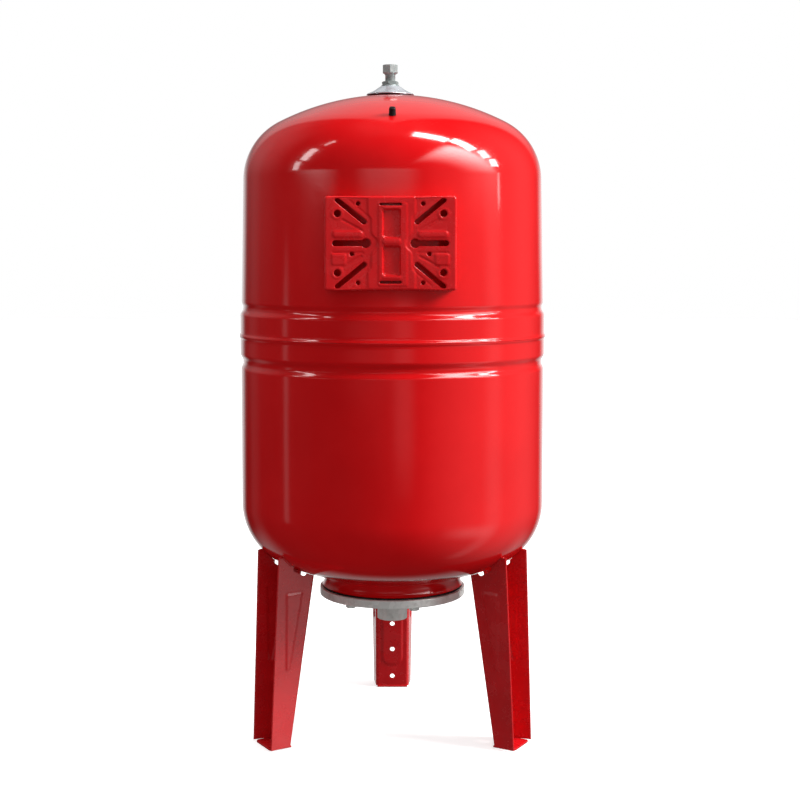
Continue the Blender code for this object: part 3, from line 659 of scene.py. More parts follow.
def neck():
    """A short neck with a hollow waist, and its weld to the dome."""
    outside = []
    top = lower_dome_z(NECK_TOP) + 0.0004
    for share in shares(14):
        hollow = NECK_WAIST * math.sin(math.pi * share) ** 0.8
        radius = blend(NECK_FOOT, NECK_TOP, share) - hollow
        outside.append((radius, blend(NECK_FOOT_Z + 0.0012, top, share)))
    profile = [
        (NECK_BORE, NECK_FOOT_Z),
        (NECK_FOOT - 0.0012, NECK_FOOT_Z),
        *outside,
        (NECK_BORE, lower_dome_z(NECK_BORE) - 0.0005),
    ]
    body = turned("neck", profile, enamel, SHELL_SIDES, sharp=50)
    stand_in(body, ["neck_ring"])
    line = [(x, y, top - 0.0009) for x, y in circle(NECK_TOP, 330)]
    verts, faces = bead(line, 0.0012, close=True)
    stand_in(made("neck_weld", verts, faces, enamel, 80), [])


def flange():
    """The loose flange: a thick disc with turned edges and a shallow step round its underside."""
    low, high = flange_low.z, flange_high.z
    radius = flange_high.x
    profile = [
        (0.0229, low),
        (0.0300, low),
        (0.0312, low + 0.0006),
        (radius - 0.0065, low + 0.0006),
        (radius - 0.0055, low),
        (radius, low),
        (radius, high),
        (radius - 0.0028, high),
        (0.0229, high),
    ]
    disc = turned("flange", softened(profile, 0.0016), zinc, SHELL_SIDES)
    stand_in(disc, ["counter_flange"])


def socket():
    """A plain socket with its G1 thread inside and the weld that holds it in the flange."""
    low, high = socket_low.z, socket_high.z
    outer = 0.02235
    bore = 0.0155
    pitch = 0.002309
    profile = [
        (bore + 0.0016, low),
        (outer, low),
        (outer, flange_low.z - 0.0052),
        (outer + 0.0028, flange_low.z - 0.0004),
        (outer, flange_low.z - 0.0003),
        (outer, high),
        (bore + 0.0008, high),
    ]
    inside = thread_run(bore, high - 0.003, low + 0.002, 0.0013, pitch)
    body = turned("socket", softened(profile, 0.0012) + inside, zinc, TURNED_SIDES, pitch=pitch)
    stand_in(body, ["water_connection"])


def stud_shape():
    radius = 0.004
    pitch = 0.00125
    low, high = stud_low.z, stud_high.z
    run = thread_run(radius, low + 0.0008, high - 0.0004, -0.00055, pitch)
    profile = [(0, low), (radius - 0.0009, low), *run, (radius - 0.0004, high), (0, high)]
    return turned("stud", profile, zinc, SMALL_SIDES, False, pitch=pitch)


def fasteners():
    """One stud, washer and nut for each place; each kind shares its mesh."""
    washer_low, washer_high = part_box("flange_washer_1")
    nut_low, nut_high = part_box("flange_nut_1")
    washer = ring_profile(0.0043, 0.008, washer_low.z, washer_high.z)
    shapes = {
        "stud": stud_shape(),
        "washer": turned("washer", softened(washer, 0.0004), zinc, SMALL_SIDES),
        "nut": hexagon_body("nut", 0.013, nut_low.z, nut_high.z, 0.0042, zinc),
    }
    for number in range(1, 7):
        for kind, shape in shapes.items():
            low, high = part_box(f"flange_{kind}_{number}")
            copy = placed(f"{kind}_{number}", shape.data)
            copy.location = ((low.x + high.x) / 2, (low.y + high.y) / 2, 0)
            if kind == "nut":
                copy.rotation_euler.z = math.tau * number / 6 + 0.2 * (number % 3)
            stand_in(copy, [f"flange_{kind}_{number}"])
    dropped(*shapes.values())


neck()
flange()
socket()
fasteners()


# Rubber bag

BAG_WALL = 0.0025
BAG_LIP = 0.1052
BAG_LIP_WALL = 0.0016
BAG_MOUTH = 0.066
BAG_RADIUS = 0.160
BAG_BOTTOM = 0.245
# Foot and top of the bag's straight side
BAG_SIDE = (0.345, 0.800)
BAG_TOP = 0.9405
BAG_FLAT = 0.030
BAG_HOLE = 0.0115


def bag_line(grow):
    """The bag's profile from its mouth to its hole, moved outwards by grow."""
    line = []
    radius = BAG_RADIUS + grow
    for share in shares(18):
        angle = math.pi / 2 * share
        reach = blend(BAG_MOUTH, BAG_RADIUS, math.sin(angle)) + grow
        line.append((reach, blend(BAG_SIDE[0], BAG_BOTTOM - grow, math.cos(angle))))
    line += [(radius, blend(*BAG_SIDE, share)) for share in shares(12)[1:-1]]
    for share in shares(24):
        angle = math.pi / 2 * share
        reach = blend(BAG_FLAT, radius, math.cos(angle))
        line.append((reach, blend(BAG_SIDE[1], BAG_TOP + grow, math.sin(angle))))
    return [*line, (BAG_HOLE, BAG_TOP + grow)]


def bag():
    """The bag from its clamped lip up to the disc that holds its top."""
    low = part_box("membrane")[0].z
    high = low + BAG_LIP_WALL
    outside = [(BAG_LIP, low), (BAG_LIP, high), (0.068, high), (BAG_MOUTH, high + 0.002)]
    outside += bag_line(0.0)
    inside = [(BAG_MOUTH - BAG_WALL, low), *bag_line(-BAG_WALL)]
    body = turned("bag", outside + inside[::-1], black, TURNED_SIDES, sharp=40)
    stand_in(body, ["membrane"])


bag()


# Fitting at the top

STEM_HOLE = 0.0084
GASKET_RIM = 0.0340
CONE_RIM = 0.0355
PLUG_ACROSS = 0.022
PLUG_COLLAR_Z = 0.9773
PLUG_SHORTER = 0.0012
SPIGOT_RADIUS = 0.0037
HANGER_RADIUS = 0.0078
HANGER_DISC = 0.024


def on_fitting(piece, nodes, body="vessel"):
    """Like stand_in, for a piece on the fitting's axis, a little to one side of the vessel's."""
    piece.location.x = FITTING_X
    stand_in(piece, nodes, body)


def dome_run(start, end, lift):
    """Profile points at a height above the upper dome, from one radius to another."""
    radii = [blend(start, end, share) for share in shares(10)]
    return [(radius, upper_dome_z(radius) + lift) for radius in radii]


def top_fitting():
    profile = dome_run(STEM_HOLE, GASKET_RIM, 0.0007) + dome_run(GASKET_RIM, STEM_HOLE, 0.0021)
    on_fitting(turned("gasket", profile, black), ["top_gasket"])

    under = dome_run(STEM_HOLE, CONE_RIM, 0.0024)
    edge_z = under[-1][1]
    over = [(CONE_RIM, edge_z + 0.0008), (0.0338, 0.9492), (0.0282, 0.9512), (0.0226, 0.9542)]
    over += [(0.0178, 0.9577), (0.0142, cone_high.z), (STEM_HOLE, cone_high.z)]
    profile = softened(under + over, 0.0007, True, 4)
    on_fitting(turned("cone", profile, chrome, 128, sharp=40), ["top_cone"])

    low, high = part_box("cone_spacer")
    profile = [(STEM_HOLE, low.z), (0.0136, low.z), (0.0128, high.z), (STEM_HOLE, high.z)]
    spacer = turned("spacer", softened(profile, 0.0004), steel)
    on_fitting(spacer, ["cone_spacer"])

    low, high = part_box("jam_nut")
    turn = math.radians(15)
    nut = hexagon_body("thin_nut", PLUG_ACROSS, low.z, high.z, STEM_HOLE, steel, turn)
    on_fitting(nut, ["jam_nut"])

    low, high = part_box("membrane_hanger")
    pitch = 0.0015
    disc_top = low.z + 0.0032
    profile = [(0.0042, low.z), (HANGER_DISC, low.z), (HANGER_DISC, disc_top)]
    profile = softened([*profile, (HANGER_RADIUS, disc_top)], 0.0008)
    profile += thread_run(HANGER_RADIUS, low.z + 0.02, high.z - 0.0002, -0.0007, pitch)
    profile += [(0.0070, high.z), (0.0042, high.z)]
    hanger = turned("hanger", profile, steel, TURNED_SIDES, pitch=pitch)
    on_fitting(hanger, ["membrane_hanger"])


def top_plug():
    """A hexagon on a tapered collar, with the threaded spigot that fills the hanger's bore."""
    low = PLUG_COLLAR_Z
    top = plug_high.z - PLUG_SHORTER
    turn = math.radians(90)
    head = hexagon_body("plug", PLUG_ACROSS, low + 0.0018, top, 0.0, steel, turn)
    pitch = 0.001
    run = thread_run(SPIGOT_RADIUS, plug_low.z + 0.0006, low, -0.0004, pitch)
    profile = [(0, plug_low.z), (0.0030, plug_low.z), *run, (0.0082, low), (0.0104, low + 0.0021)]
    profile += [(0.0100, low + 0.003), (0, low + 0.003)]
    under = turned("plug_under", profile, steel, TURNED_SIDES, False, pitch=pitch)
    join(head, under)
    on_fitting(head, ["top_plug"], "top_plug")


def join(piece, *others):
    """Moves the others' faces into the piece's mesh."""
    bm = bmesh.new()
    bm.from_mesh(piece.data)
    for other in others:
        bm.from_mesh(other.data)
    bm.to_mesh(piece.data)
    bm.free()
    dropped(*others)


top_fitting()
top_plug()


# Air valve. Heights are along its own axis, from the dome's surface.

VALVE_OUT = 0.1744
STEM_FOOT = -0.016
STEM_TOP = 0.0099
STEM_RADIUS = 0.004
STEM_BORE = 0.0024
# Radius, foot and top of the thread
STEM_THREAD = (0.00365, 0.0020, 0.0094)
STEM_PITCH = 0.0008
# Bore, radius, foot and top of the core's sleeve
CORE = (0.001, 0.0021, -0.0084, 0.0085)
PIN_RADIUS = 0.0006
SEAL_RADIUS = 0.0018
# Foot and top of the pin's seal disc, and then of the coil
SEAL = (-0.0098, -0.0088)
COIL = (-0.0143, -0.0103)
PIN_TOP = 0.0096
COIL_RADIUS = 0.0013
COIL_WIRE = 0.0002
COIL_TURNS = 5
CAP_TOP = 0.0114
CAP_FOOT = 0.0004
CAP_RADIUS = 0.0046
CAP_WALL_TOP = 0.0013
# The cap's grips: how many, the radius they start from and their depth
CAP_RIBS = (24, 0.00455, 0.00022)


def valve_place():
    """Puts the valve on the front shoulder, square to the dome there."""
    centre = UPPER_RADIUS - UPPER_KNUCKLE
    lean = math.asin((VALVE_OUT - centre) / UPPER_KNUCKLE)
    foot = UPPER_TANGENT_Z + UPPER_KNUCKLE * math.cos(lean)
    return Matrix.Translation((0, -VALVE_OUT, foot)) @ Matrix.Rotation(lean, 4, "X")


def valve_stem():
    foot, seat = STEM_FOOT, STEM_FOOT + 0.0012
    profile = [(0.001, foot), (STEM_RADIUS, foot), (STEM_RADIUS, 0.0006), (0.0037, 0.0009)]
    profile += thread_run(*STEM_THREAD, -0.0004, STEM_PITCH)
    profile += [(0.0032, STEM_TOP), (STEM_BORE, STEM_TOP), (STEM_BORE, seat), (0.001, seat)]
    return turned("valve_stem", profile, yellow, SMALL_SIDES, pitch=STEM_PITCH)


def valve_pin():
    """The pin with its seal disc at the foot."""
    low, high = SEAL
    profile = [(0, low), (SEAL_RADIUS, low), (SEAL_RADIUS, high), (PIN_RADIUS, high)]
    profile += [(PIN_RADIUS, PIN_TOP - 0.0003), (0.0004, PIN_TOP), (0, PIN_TOP)]
    return turned("pin", profile, chrome, 24, False)


def valve_spring():
    line = []
    for share in shares(20 * COIL_TURNS):
        angle = math.tau * COIL_TURNS * share
        height = blend(*COIL, share)
        line.append((COIL_RADIUS * math.cos(angle), COIL_RADIUS * math.sin(angle), height))
    return made("spring", *bead(line, COIL_WIRE, 8, 0.0), chrome, 60)


def valve_cap():
    """A ribbed cap with a domed top and a small lip at its foot."""
    top, foot = CAP_TOP, CAP_FOOT
    roof = top - CAP_WALL_TOP
    profile = [(0, top), (0.0022, top - 0.0001), (0.0038, top - 0.0007), (0.0044, top - 0.0016)]
    profile += [(CAP_RADIUS, top - 0.0026), (CAP_RADIUS, 0.0020), (0.0052, 0.0010)]
    profile += [(0.0051, foot), (0.0043, foot), (0.0040, 0.0014), (0.0040, roof), (0, roof)]
    return turned("cap", profile, plastic, 144, False, ribs=CAP_RIBS)


def air_valve():
    place = valve_place()
    core = softened(ring_profile(*CORE), 0.0003)
    pieces = (
        (valve_stem(), "valve_body", "brass", "vessel"),
        (turned("core", core, yellow, SMALL_SIDES), "valve_core", "brass", "vessel"),
        (valve_pin(), "valve_pin", "bright_steel", "valve_pin"),
        (valve_spring(), "valve_spring", "bright_steel", "vessel"),
        (valve_cap(), "dust_cap", "black_plastic", "dust_cap"),
    )
    for piece, node, slot, body in pieces:
        piece.data.transform(place)
        stand_in(piece, [node], body)
        if node == "valve_spring":
            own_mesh(piece)


air_valve()


# Legs

LEG_SHEET = 0.0025
LEG_BEND = 0.005
LEG_LOW = 0.0022
LEG_TOP = 0.281
WEB_HALF = 0.0265
HOLE_HEIGHTS = (0.110, 0.066, 0.019)
HOLE_RADIUS = 0.0038
ANCHOR_RADIUS = 0.0048
ANCHOR_OUT = 0.199
EMBOSS = 0.0013
# The flange's panel: its foot, its head, and how far out it reaches
PANEL_LOW = 0.1145
PANEL_HIGH = 0.2275
PANEL_OUT = 0.1945
NOTCH_TILT = math.radians(27.4)


def web_at(z):
    """How far the web stands from the vessel's axis at a height."""
    return blend(0.184, 0.1393, z / LEG_TOP)


def edge_at(z):
    """How far out the flanges reach."""
    return blend(0.217, 0.2057, z / LEG_TOP)


def open_at(z):
    """Half the channel's width at its flanges' edges."""
    return blend(0.0305, 0.0358, z / LEG_TOP)


def flange_emboss(out, z):
    """A tapered panel pressed out of each flange; it ends in a rounded tip."""
    share = (z - PANEL_LOW) / (PANEL_HIGH - PANEL_LOW)
    near = web_at(z) + blend(0.0210, 0.0170, share)
    across = smooth(0, 0.0026, out - near) * smooth(0, 0.0026, PANEL_OUT - out)
    along = smooth(0, 0.003, z - PANEL_LOW) * smooth(0, 0.003, PANEL_HIGH - z)
    return EMBOSS * across * along


def round_box(x, y, half_x, half_y, corner):
    """Distance to a box with rounded corners, negative inside."""
    dx = abs(x) - half_x + corner
    dy = abs(y) - half_y + corner
    return math.hypot(max(dx, 0), max(dy, 0)) + min(max(dx, dy), 0) - corner


def web_emboss(across, z):
    """A long panel with rounded corners pressed out of the web."""
    edge = round_box(across, z - 0.128, 0.0160, 0.0885, 0.0125)
    return EMBOSS * (1 - smooth(-0.0014, 0.0014, edge))


def leg_line(z):
    """The channel's outside at one height, as (out, across, normal out, normal across, place)."""
    web, edge, half = web_at(z), edge_at(z), open_at(z)
    slope = math.atan2(half - WEB_HALF, edge - web)
    tangent = LEG_BEND * math.tan((math.pi / 2 - slope) / 2)
    start = Vector((web + tangent * math.cos(slope), WEB_HALF + tangent * math.sin(slope)))
    centre = Vector((web + LEG_BEND, WEB_HALF - tangent))
    line = []
    for share in shares(28):
        point = Vector((edge, half)).lerp(start, share)
        line.append((point.x, point.y, -math.sin(slope), math.cos(slope), "flange"))
    for share in shares(9)[1:-1]:
        angle = blend(math.pi / 2 + slope, math.pi, share)
        way = Vector((math.cos(angle), math.sin(angle)))
        point = centre + way * LEG_BEND
        line.append((point.x, point.y, way.x, way.y, "bend"))
    flat = WEB_HALF - tangent
    line += [(web, blend(flat, 0, share), -1, 0, "web") for share in shares(16)]
    mirrored = [(out, -across, nx, -ny, place) for out, across, nx, ny, place in line[-2::-1]]
    return line + mirrored


def leg_channel():
    verts = []
    rows = []
    for height in shares(124):
        z = blend(LEG_LOW, LEG_TOP, height)
        outside = []
        inside = []
        for out, across, nx, ny, place in leg_line(z):
            lift = 0.0
            if place == "flange":
                lift = flange_emboss(out, z)
            elif place == "web":
                lift = web_emboss(across, z)
            outside.append((out + nx * lift, across + ny * lift, z))
            depth = lift - LEG_SHEET
            inside.append((out + nx * depth, across + ny * depth, z))
        ring = [*outside, *rounded_end(outside[-1], inside[-1]), *inside[::-1]]
        ring += rounded_end(inside[0], outside[0])
        rows.append(list(range(len(verts), len(verts) + len(ring))))
        verts += ring
    faces = skin(rows, False)
    faces += end_faces(rows[0]) + end_faces(rows[-1])
    return made("leg", verts, faces, sheet, 40)


def rounded_end(first, last):
    """Two points that round off the free edge between a flange's two faces."""
    a, b = Vector(first), Vector(last)
    out = Vector((0.0008, 0, 0))
    return [tuple(a.lerp(b, 0.25) + out), tuple(a.lerp(b, 0.75) + out)]


def end_faces(ring):
    """Quads that close one end of the channel between its outside and its inside."""
    count = len(ring)
    half = (count - 4) // 2
    outer = ring[:half]
    inner = ring[half + 2 : 2 * half + 2][::-1]
    faces = [[outer[i], outer[i + 1], inner[i + 1], inner[i]] for i in range(half - 1)]
    faces.append([outer[-1], ring[half], ring[half + 1], inner[-1]])
    faces.append([inner[0], ring[-2], ring[-1], outer[0]])
    return faces


def dome_cutter():
    """The lower dome as a solid, a hair larger, so that the legs end on it."""
    head = (LOWER_RADIUS, LOWER_KNUCKLE, LOWER_CROWN, LOWER_TANGENT_Z, LOWER_CROWN_Z, -1, 0.02)
    curve = dish(*head, 0.0003, (20, 20))
    profile = [(0, 0.4), (LOWER_RADIUS + 0.0003, 0.4), *curve, (0, curve[-1][1])]
    return turned("cutter", profile, None, 180, False)


def leg_cutters():
    """The dome, the gap in the web's head, the web's holes and the notches."""
    cutters = [dome_cutter()]
    gap = [(0.135, -0.017), (0.155, -0.017), (0.155, 0.017), (0.135, 0.017)]
    cutters.append(prism(gap, 0.240, 0.29))
    sideways = Euler((0, math.pi / 2, 0)).to_matrix().to_4x4()
    for z in HOLE_HEIGHTS:
        place = Matrix.Translation((web_at(z), 0, z)) @ sideways
        cutters.append(prism(circle(HOLE_RADIUS, 40), -0.015, 0.015, place))
    stand = Euler((math.pi / 2, 0, 0)).to_matrix().to_4x4()
    tilt = Euler((0, -NOTCH_TILT, 0)).to_matrix().to_4x4()
    place = Matrix.Translation((0.170, 0, 0.2577)) @ tilt @ stand
    cutters.append(prism(stadium((-0.0085, 0), (0.0085, 0), 0.009, 14), -0.06, 0.06, place))
    return cutters


def foot_tab():
    """The tab bent out under the web, with rounded corners and its anchor hole."""
    bm = bmesh.new()
    outline = [(0.1825, -0.0245), (0.2168, -0.0245), (0.2168, 0.0245), (0.1825, 0.0245)]
    low = [bm.verts.new((x, y, 0)) for x, y in outline]
    high = [bm.verts.new((x, y, 0.003)) for x, y in outline]
    bm.faces.new(low[::-1])
    bm.faces.new(high)
    for i in range(4):
        bm.faces.new((low[i - 1], low[i], high[i], high[i - 1]))
    corners = [edge for edge in bm.edges if abs(edge.verts[0].co.z - edge.verts[1].co.z) > 0.001]
    corners = [edge for edge in corners if edge.verts[0].co.x > 0.2]
    bmesh.ops.bevel(bm, geom=corners, offset=0.005, segments=6, profile=0.5, affect="EDGES")
    rims = [edge for edge in bm.edges if abs(edge.verts[0].co.z - edge.verts[1].co.z) < 0.001]
    bmesh.ops.bevel(bm, geom=rims, offset=0.0006, segments=2, profile=0.5, affect="EDGES")
    mesh = bpy.data.meshes.new("foot")
    bm.to_mesh(mesh)
    bm.free()
    mesh.materials.append(sheet)
    drill = prism(circle(ANCHOR_RADIUS, 40, (ANCHOR_OUT, 0)), -0.01, 0.01)
    return carve(placed("foot", mesh), [drill])


def leg_welds():
    """Beads where the flanges' ends meet the dome."""
    verts = []
    faces = []
    for side in (-1, 1):
        line = []
        for step in shares(40):
            share = blend(0.66, 0.985, step)
            z = 0.27
            # Each pass brings the point nearer to the dome's height where it stands
            for _ in range(16):
                out = blend(web_at(z), edge_at(z), share)
                across = blend(WEB_HALF, open_at(z), share)
                z = min(lower_dome_z(min(math.hypot(out, across), 0.2249)), LEG_TOP)
            line.append((out, side * (across - 0.0004), z - 0.0006))
        bead_verts, bead_faces = bead(line, 0.0014)
        start = len(verts)
        verts += bead_verts
        faces += [[start + vert for vert in face] for face in bead_faces]
    return made("leg_weld", verts, faces, sheet, 80)


def legs():
    shape = carve(leg_channel(), leg_cutters())
    join(shape, foot_tab(), leg_welds())
    shape.data.shade_smooth()
    shape.data.set_sharp_from_angle(angle=math.radians(38))
    for name, heading in (("rear", 90), ("front_left", 210), ("front_right", 330)):
        leg = placed(f"pressed_leg_{name}", shape.data)
        leg.rotation_euler.z = math.radians(heading)
        stand_in(leg, [f"leg_{name}"])
    dropped(shape)


legs()


# Mounting plate. Its relief is worked out in millimetres from the plate's centre.

PLATE_HALF_X = (plate_high.x - plate_low.x) / 2
PLATE_HALF_Z = (plate_high.z - plate_low.z) / 2
PLATE_SHEET = 0.002
PLATE_EDGE = 0.003
PLATE_CORNER = 0.0008
PLATE_MESH = 0.0014
# Slits in the folded sides: height from the centre and half width in millimetres
SLIT = 37.0
SLIT_HALF = 1.1
# How far behind the face the side stops at a slit
SLIT_DEPTH = 0.0046
# Half width of the raised middle at each height from the centre
SHOULDER = ((0, 18), (5, 19), (11, 25.5), (15, 27), (33, 27.5), (39, 32), (90, 32))
# Pressed areas: (centre, half size, rise, width of the slope, corner radius)
MIDDLE_PADS = (
    ((3.2, -1.5), (19.2, 55.5), 0.7, 1.6, 2.5),
    ((1.7, 26.4), (11.4, 18.4), -4.2, 2.0, 3),
    ((1.7, -23.3), (11.4, 19.4), -4.2, 2.0, 3),
    ((1.7, 2.3), (12.0, 3.4), 0.9, 3.0, 3),
    ((1.7, 48.2), (12.0, 2.0), 0.6, 2.0, 2),
    ((1.7, -45.6), (12.0, 1.8), 0.6, 2.0, 1.8),
)
# The same on both sides of the middle, and then above and below it as well
SIDE_PADS = (
    ((57, 12.0), (20, 4.2), 1.3, 3.0, 4),
    ((69, -21.5), (9.5, 7.5), 0.9, 2.0, 2.5),
    ((57, -12.6), (21, 1.2), -0.6, 2.4, 1.2),
)
CORNER_PAD = ((71, 39.5), (8.2, 8.2), 0.45, 1.6, 8)
# Pressed lines in each quarter: (start, end, width, rise)
CREASES = (((39, 17.5), (64, 31), 2.6, -0.8), ((30, 36), (55, 57), 2.2, -0.35))


def pad(x, z, spec, side=1, up=1):
    centre, half, rise, slope, corner = spec
    edge = round_box(x - side * centre[0], z - up * centre[1], half[0], half[1], corner)
    return rise * (1 - smooth(-slope / 2, slope / 2, edge))


def crease(x, z, spec, side, up):
    """A pressed line between two points."""
    start, end, width, rise = spec
    a, b = Vector((side * start[0], up * start[1])), Vector((side * end[0], up * end[1]))
    p = Vector((x, z))
    share = min(max((p - a).dot(b - a) / (b - a).length_squared, 0), 1)
    return rise * (1 - smooth(0, width, (p - a.lerp(b, share)).length))


def shoulder(z):
    for (low, first), (high, last) in zip(SHOULDER, SHOULDER[1:]):
        if abs(z) <= high:
            return blend(first, last, (abs(z) - low) / (high - low))
    return SHOULDER[-1][1]


def relief(x, z):
    """How far the plate's face stands forward, for a point in metres from the centre."""
    x, z = x * 1000, z * 1000
    rise = 0.9 * smooth(-1.0, 1.0, shoulder(z) - abs(x - 1.5))
    rise += sum(pad(x, z, spec) for spec in MIDDLE_PADS)
    for side in (-1, 1):
        rise += sum(pad(x, z, spec, side) for spec in SIDE_PADS)
        for up in (-1, 1):
            rise += sum(crease(x, z, spec, side, up) for spec in CREASES)
            rise += pad(x, z, CORNER_PAD, side, up)
    return rise / 1000


def plate_holes():
    """Outlines of every slot and hole in the face, in metres from its centre."""
    holes = []
    for side in (-1, 1):
        for up in (-1, 1):
            inner = (side * 0.0355, up * 0.0285)
            holes.append(stadium(inner, (side * 0.071, up * 0.0575), 0.007))
            holes.append(circle(0.0048, 28, (side * 0.071, up * 0.0395)))
            holes.append(circle(0.003, 20, (side * 0.0435, up * 0.0527)))
        holes.append(circle(0.003, 20, (side * 0.0518, -0.0142)))
        holes.append(keyhole(side))
        holes.append(stadium((-0.013, side * 0.052), (0.013, side * 0.052), 0.0038, 6))
    return holes


def keyhole(side):
    """An eye and the slot that leads out of it, as one outline."""
    eye, half, start, reach = 0.0064, 0.004, 0.033, 0.074
    open_angle = math.asin(half / eye)
    points = []
    for share in shares(24):
        angle = blend(open_angle, math.tau - open_angle, share)
        points.append((start + eye * math.cos(angle), eye * math.sin(angle)))
    for share in shares(12):
        angle = blend(-math.pi / 2, math.pi / 2, share)
        points.append((reach + half * math.cos(angle), half * math.sin(angle)))
    return [(side * x, z) for x, z in points[::side]]


def grown(outline, size):
    """The outline moved outwards by size."""
    count = len(outline)
    area = 0
    for (ax, az), (bx, bz) in zip(outline[-1:] + outline, outline):
        area += ax * bz - bx * az
    sign = 1 if area > 0 else -1
    out = []
    for i in range(count):
        a, b = Vector(outline[i - 1]), Vector(outline[(i + 1) % count])
        along = (b - a).normalized()
        out.append((outline[i][0] + sign * size * along.y, outline[i][1] - sign * size * along.x))
    return out


def inside(point, outline):
    x, y = point
    hit = False
    for i in range(len(outline)):
        (ax, ay), (bx, by) = outline[i - 1], outline[i]
        if (ay > y) != (by > y) and x < (bx - ax) * (y - ay) / (by - ay) + ax:
            hit = not hit
    return hit


def reaches(outlines):
    """Each outline with its least and greatest x and z, for a quick first test."""
    out = []
    for outline in outlines:
        xs, zs = zip(*outline)
        out.append((outline, min(xs), max(xs), min(zs), max(zs)))
    return out


def in_any(x, z, measured):
    for outline, left, right, low, high in measured:
        if left <= x <= right and low <= z <= high and inside((x, z), outline):
            return True
    return False


def plate_rim():
    """Points round the face's edge with their outward direction, closer at the rim's slits."""
    half_x, half_z = PLATE_HALF_X - PLATE_EDGE, PLATE_HALF_Z - PLATE_EDGE
    corner = PLATE_CORNER
    slit = SLIT / 1000
    stops = [-slit - 0.0012, -slit - 0.0010, -slit + 0.0010, -slit + 0.0012]
    stops += [-stop for stop in stops]
    tall = sorted(stops + [blend(-half_z, half_z, (i + 0.5) / 56) for i in range(56)])
    tall = [z for z in tall if abs(z) < half_z - corner]
    wide = [blend(-half_x + corner, half_x - corner, share) for share in shares(84)]
    points = [((half_x, z), (1, 0)) for z in tall]
    points += turn_corner(half_x, half_z, corner, 0)
    points += [((x, half_z), (0, 1)) for x in wide[::-1]]
    points += turn_corner(-half_x, half_z, corner, 1)
    points += [((-half_x, z), (-1, 0)) for z in tall[::-1]]
    points += turn_corner(-half_x, -half_z, corner, 2)
    points += [((x, -half_z), (0, -1)) for x in wide]
    points += turn_corner(half_x, -half_z, corner, 3)
    return points


def turn_corner(x, z, corner, quarter):
    centre = (x - math.copysign(corner, x), z - math.copysign(corner, z))
    points = []
    for share in shares(6)[1:-1]:
        angle = math.pi / 2 * (quarter + share)
        way = (math.cos(angle), math.sin(angle))
        points.append(((centre[0] + corner * way[0], centre[1] + corner * way[1]), way))
    return points


def shell_front(x, z):
    """Where the upper shell's side lies behind a point of the plate."""
    foot = 0.6415
    share = (z - foot) / (UPPER_TANGENT_Z - foot)
    radius = blend(UPPER_FOOT_RADIUS, UPPER_RADIUS, share) + 0.0003
    return -math.sqrt(radius**2 - x**2)


def plate_face(rim, holes):
    """A fine mesh of the face: its vertices, faces, which are on a hole's lip, and the rim's."""
    points = [Vector(point) for point, way in rim]
    edges = [((i - 1) % len(rim), i) for i in range(len(rim))]
    lip = set()
    for outline in holes:
        for line in (outline, grown(outline, PLATE_MESH / 2)):
            start = len(points)
            points += [Vector(point) for point in line]
            edges += [(start + (i - 1) % len(line), start + i) for i in range(len(line))]
            if line is outline:
                lip.update(range(start, len(points)))
    clear = reaches([grown(outline, PLATE_MESH) for outline in holes])
    half_x = PLATE_HALF_X - PLATE_EDGE - PLATE_CORNER
    half_z = PLATE_HALF_Z - PLATE_EDGE - PLATE_CORNER
    for across in shares(int(2 * half_x / PLATE_MESH)):
        for up in shares(int(2 * half_z / PLATE_MESH)):
            x, z = blend(-half_x, half_x, across), blend(-half_z, half_z, up)
            if not in_any(x, z, clear):
                points.append(Vector((x, z)))
    found = delaunay_2d_cdt(points, edges, [], 0, 0.0000001)
    verts, faces, origins = found[0], found[2], found[3]
    measured = reaches(holes)
    kept = []
    for face in faces:
        middle = sum((verts[i] for i in face), Vector((0, 0))) / len(face)
        if not in_any(*middle, measured):
            kept.append(face)
    on_lip = [any(source in lip for source in sources) for sources in origins]
    on_rim = {}
    for vert, sources in enumerate(origins):
        for source in sources:
            if source < len(rim):
                on_rim[source] = vert
    return verts, kept, on_lip, on_rim


def lip_walls(faces, rim_verts, count):
    """Walls from the front's free edges round the holes to the back's."""
    used = {}
    for face in faces:
        for i in range(len(face)):
            pair = (face[i - 1], face[i])
            key = tuple(sorted(pair))
            used[key] = None if key in used else pair
    walls = []
    for pair in used.values():
        if pair and not all(vert in rim_verts for vert in pair):
            walls.append([pair[1], pair[0], pair[0] + count, pair[1] + count])
    return walls


def off_rim(point, way, out, y):
    """A place at a distance out from a point of the rim, at a depth y."""
    return (PLATE_X + point[0] + way[0] * out, y, PLATE_Z + point[1] + way[1] * out)


def plate_skirt(rim, outer, verts):
    """Faces of the folded sides, from the front over the edge to the shell and back inside."""
    count = len(verts) // 2
    columns = []
    for i, (point, way) in enumerate(rim):
        rise = relief(*point)
        end = off_rim(point, way, PLATE_EDGE, 0)
        end_y = shell_front(end[0], end[2]) - 0.0004
        if abs(way[0]) > 0.99 and abs(abs(point[1] * 1000) - SLIT) < SLIT_HALF:
            end_y = PLATE_FRONT + SLIT_DEPTH
        path = []
        for share in shares(6)[1:]:
            angle = math.pi / 2 * share
            y = PLATE_FRONT + PLATE_EDGE * (1 - math.cos(angle)) - rise * math.cos(angle)
            path.append(off_rim(point, way, PLATE_EDGE * math.sin(angle), y))
        depths = [blend(PLATE_FRONT + PLATE_EDGE, end_y, share) for share in shares(7)]
        path += [off_rim(point, way, PLATE_EDGE, y) for y in depths[1:]]
        path += [off_rim(point, way, PLATE_EDGE - PLATE_SHEET, y) for y in depths[::-1]]
        new = range(len(verts), len(verts) + len(path))
        columns.append([outer[i], *new, outer[i] + count])
        verts += path
    faces = []
    for i, column in enumerate(columns):
        other = columns[i - 1]
        for k in range(len(column) - 1):
            faces.append([other[k], column[k], column[k + 1], other[k + 1]])
    return faces


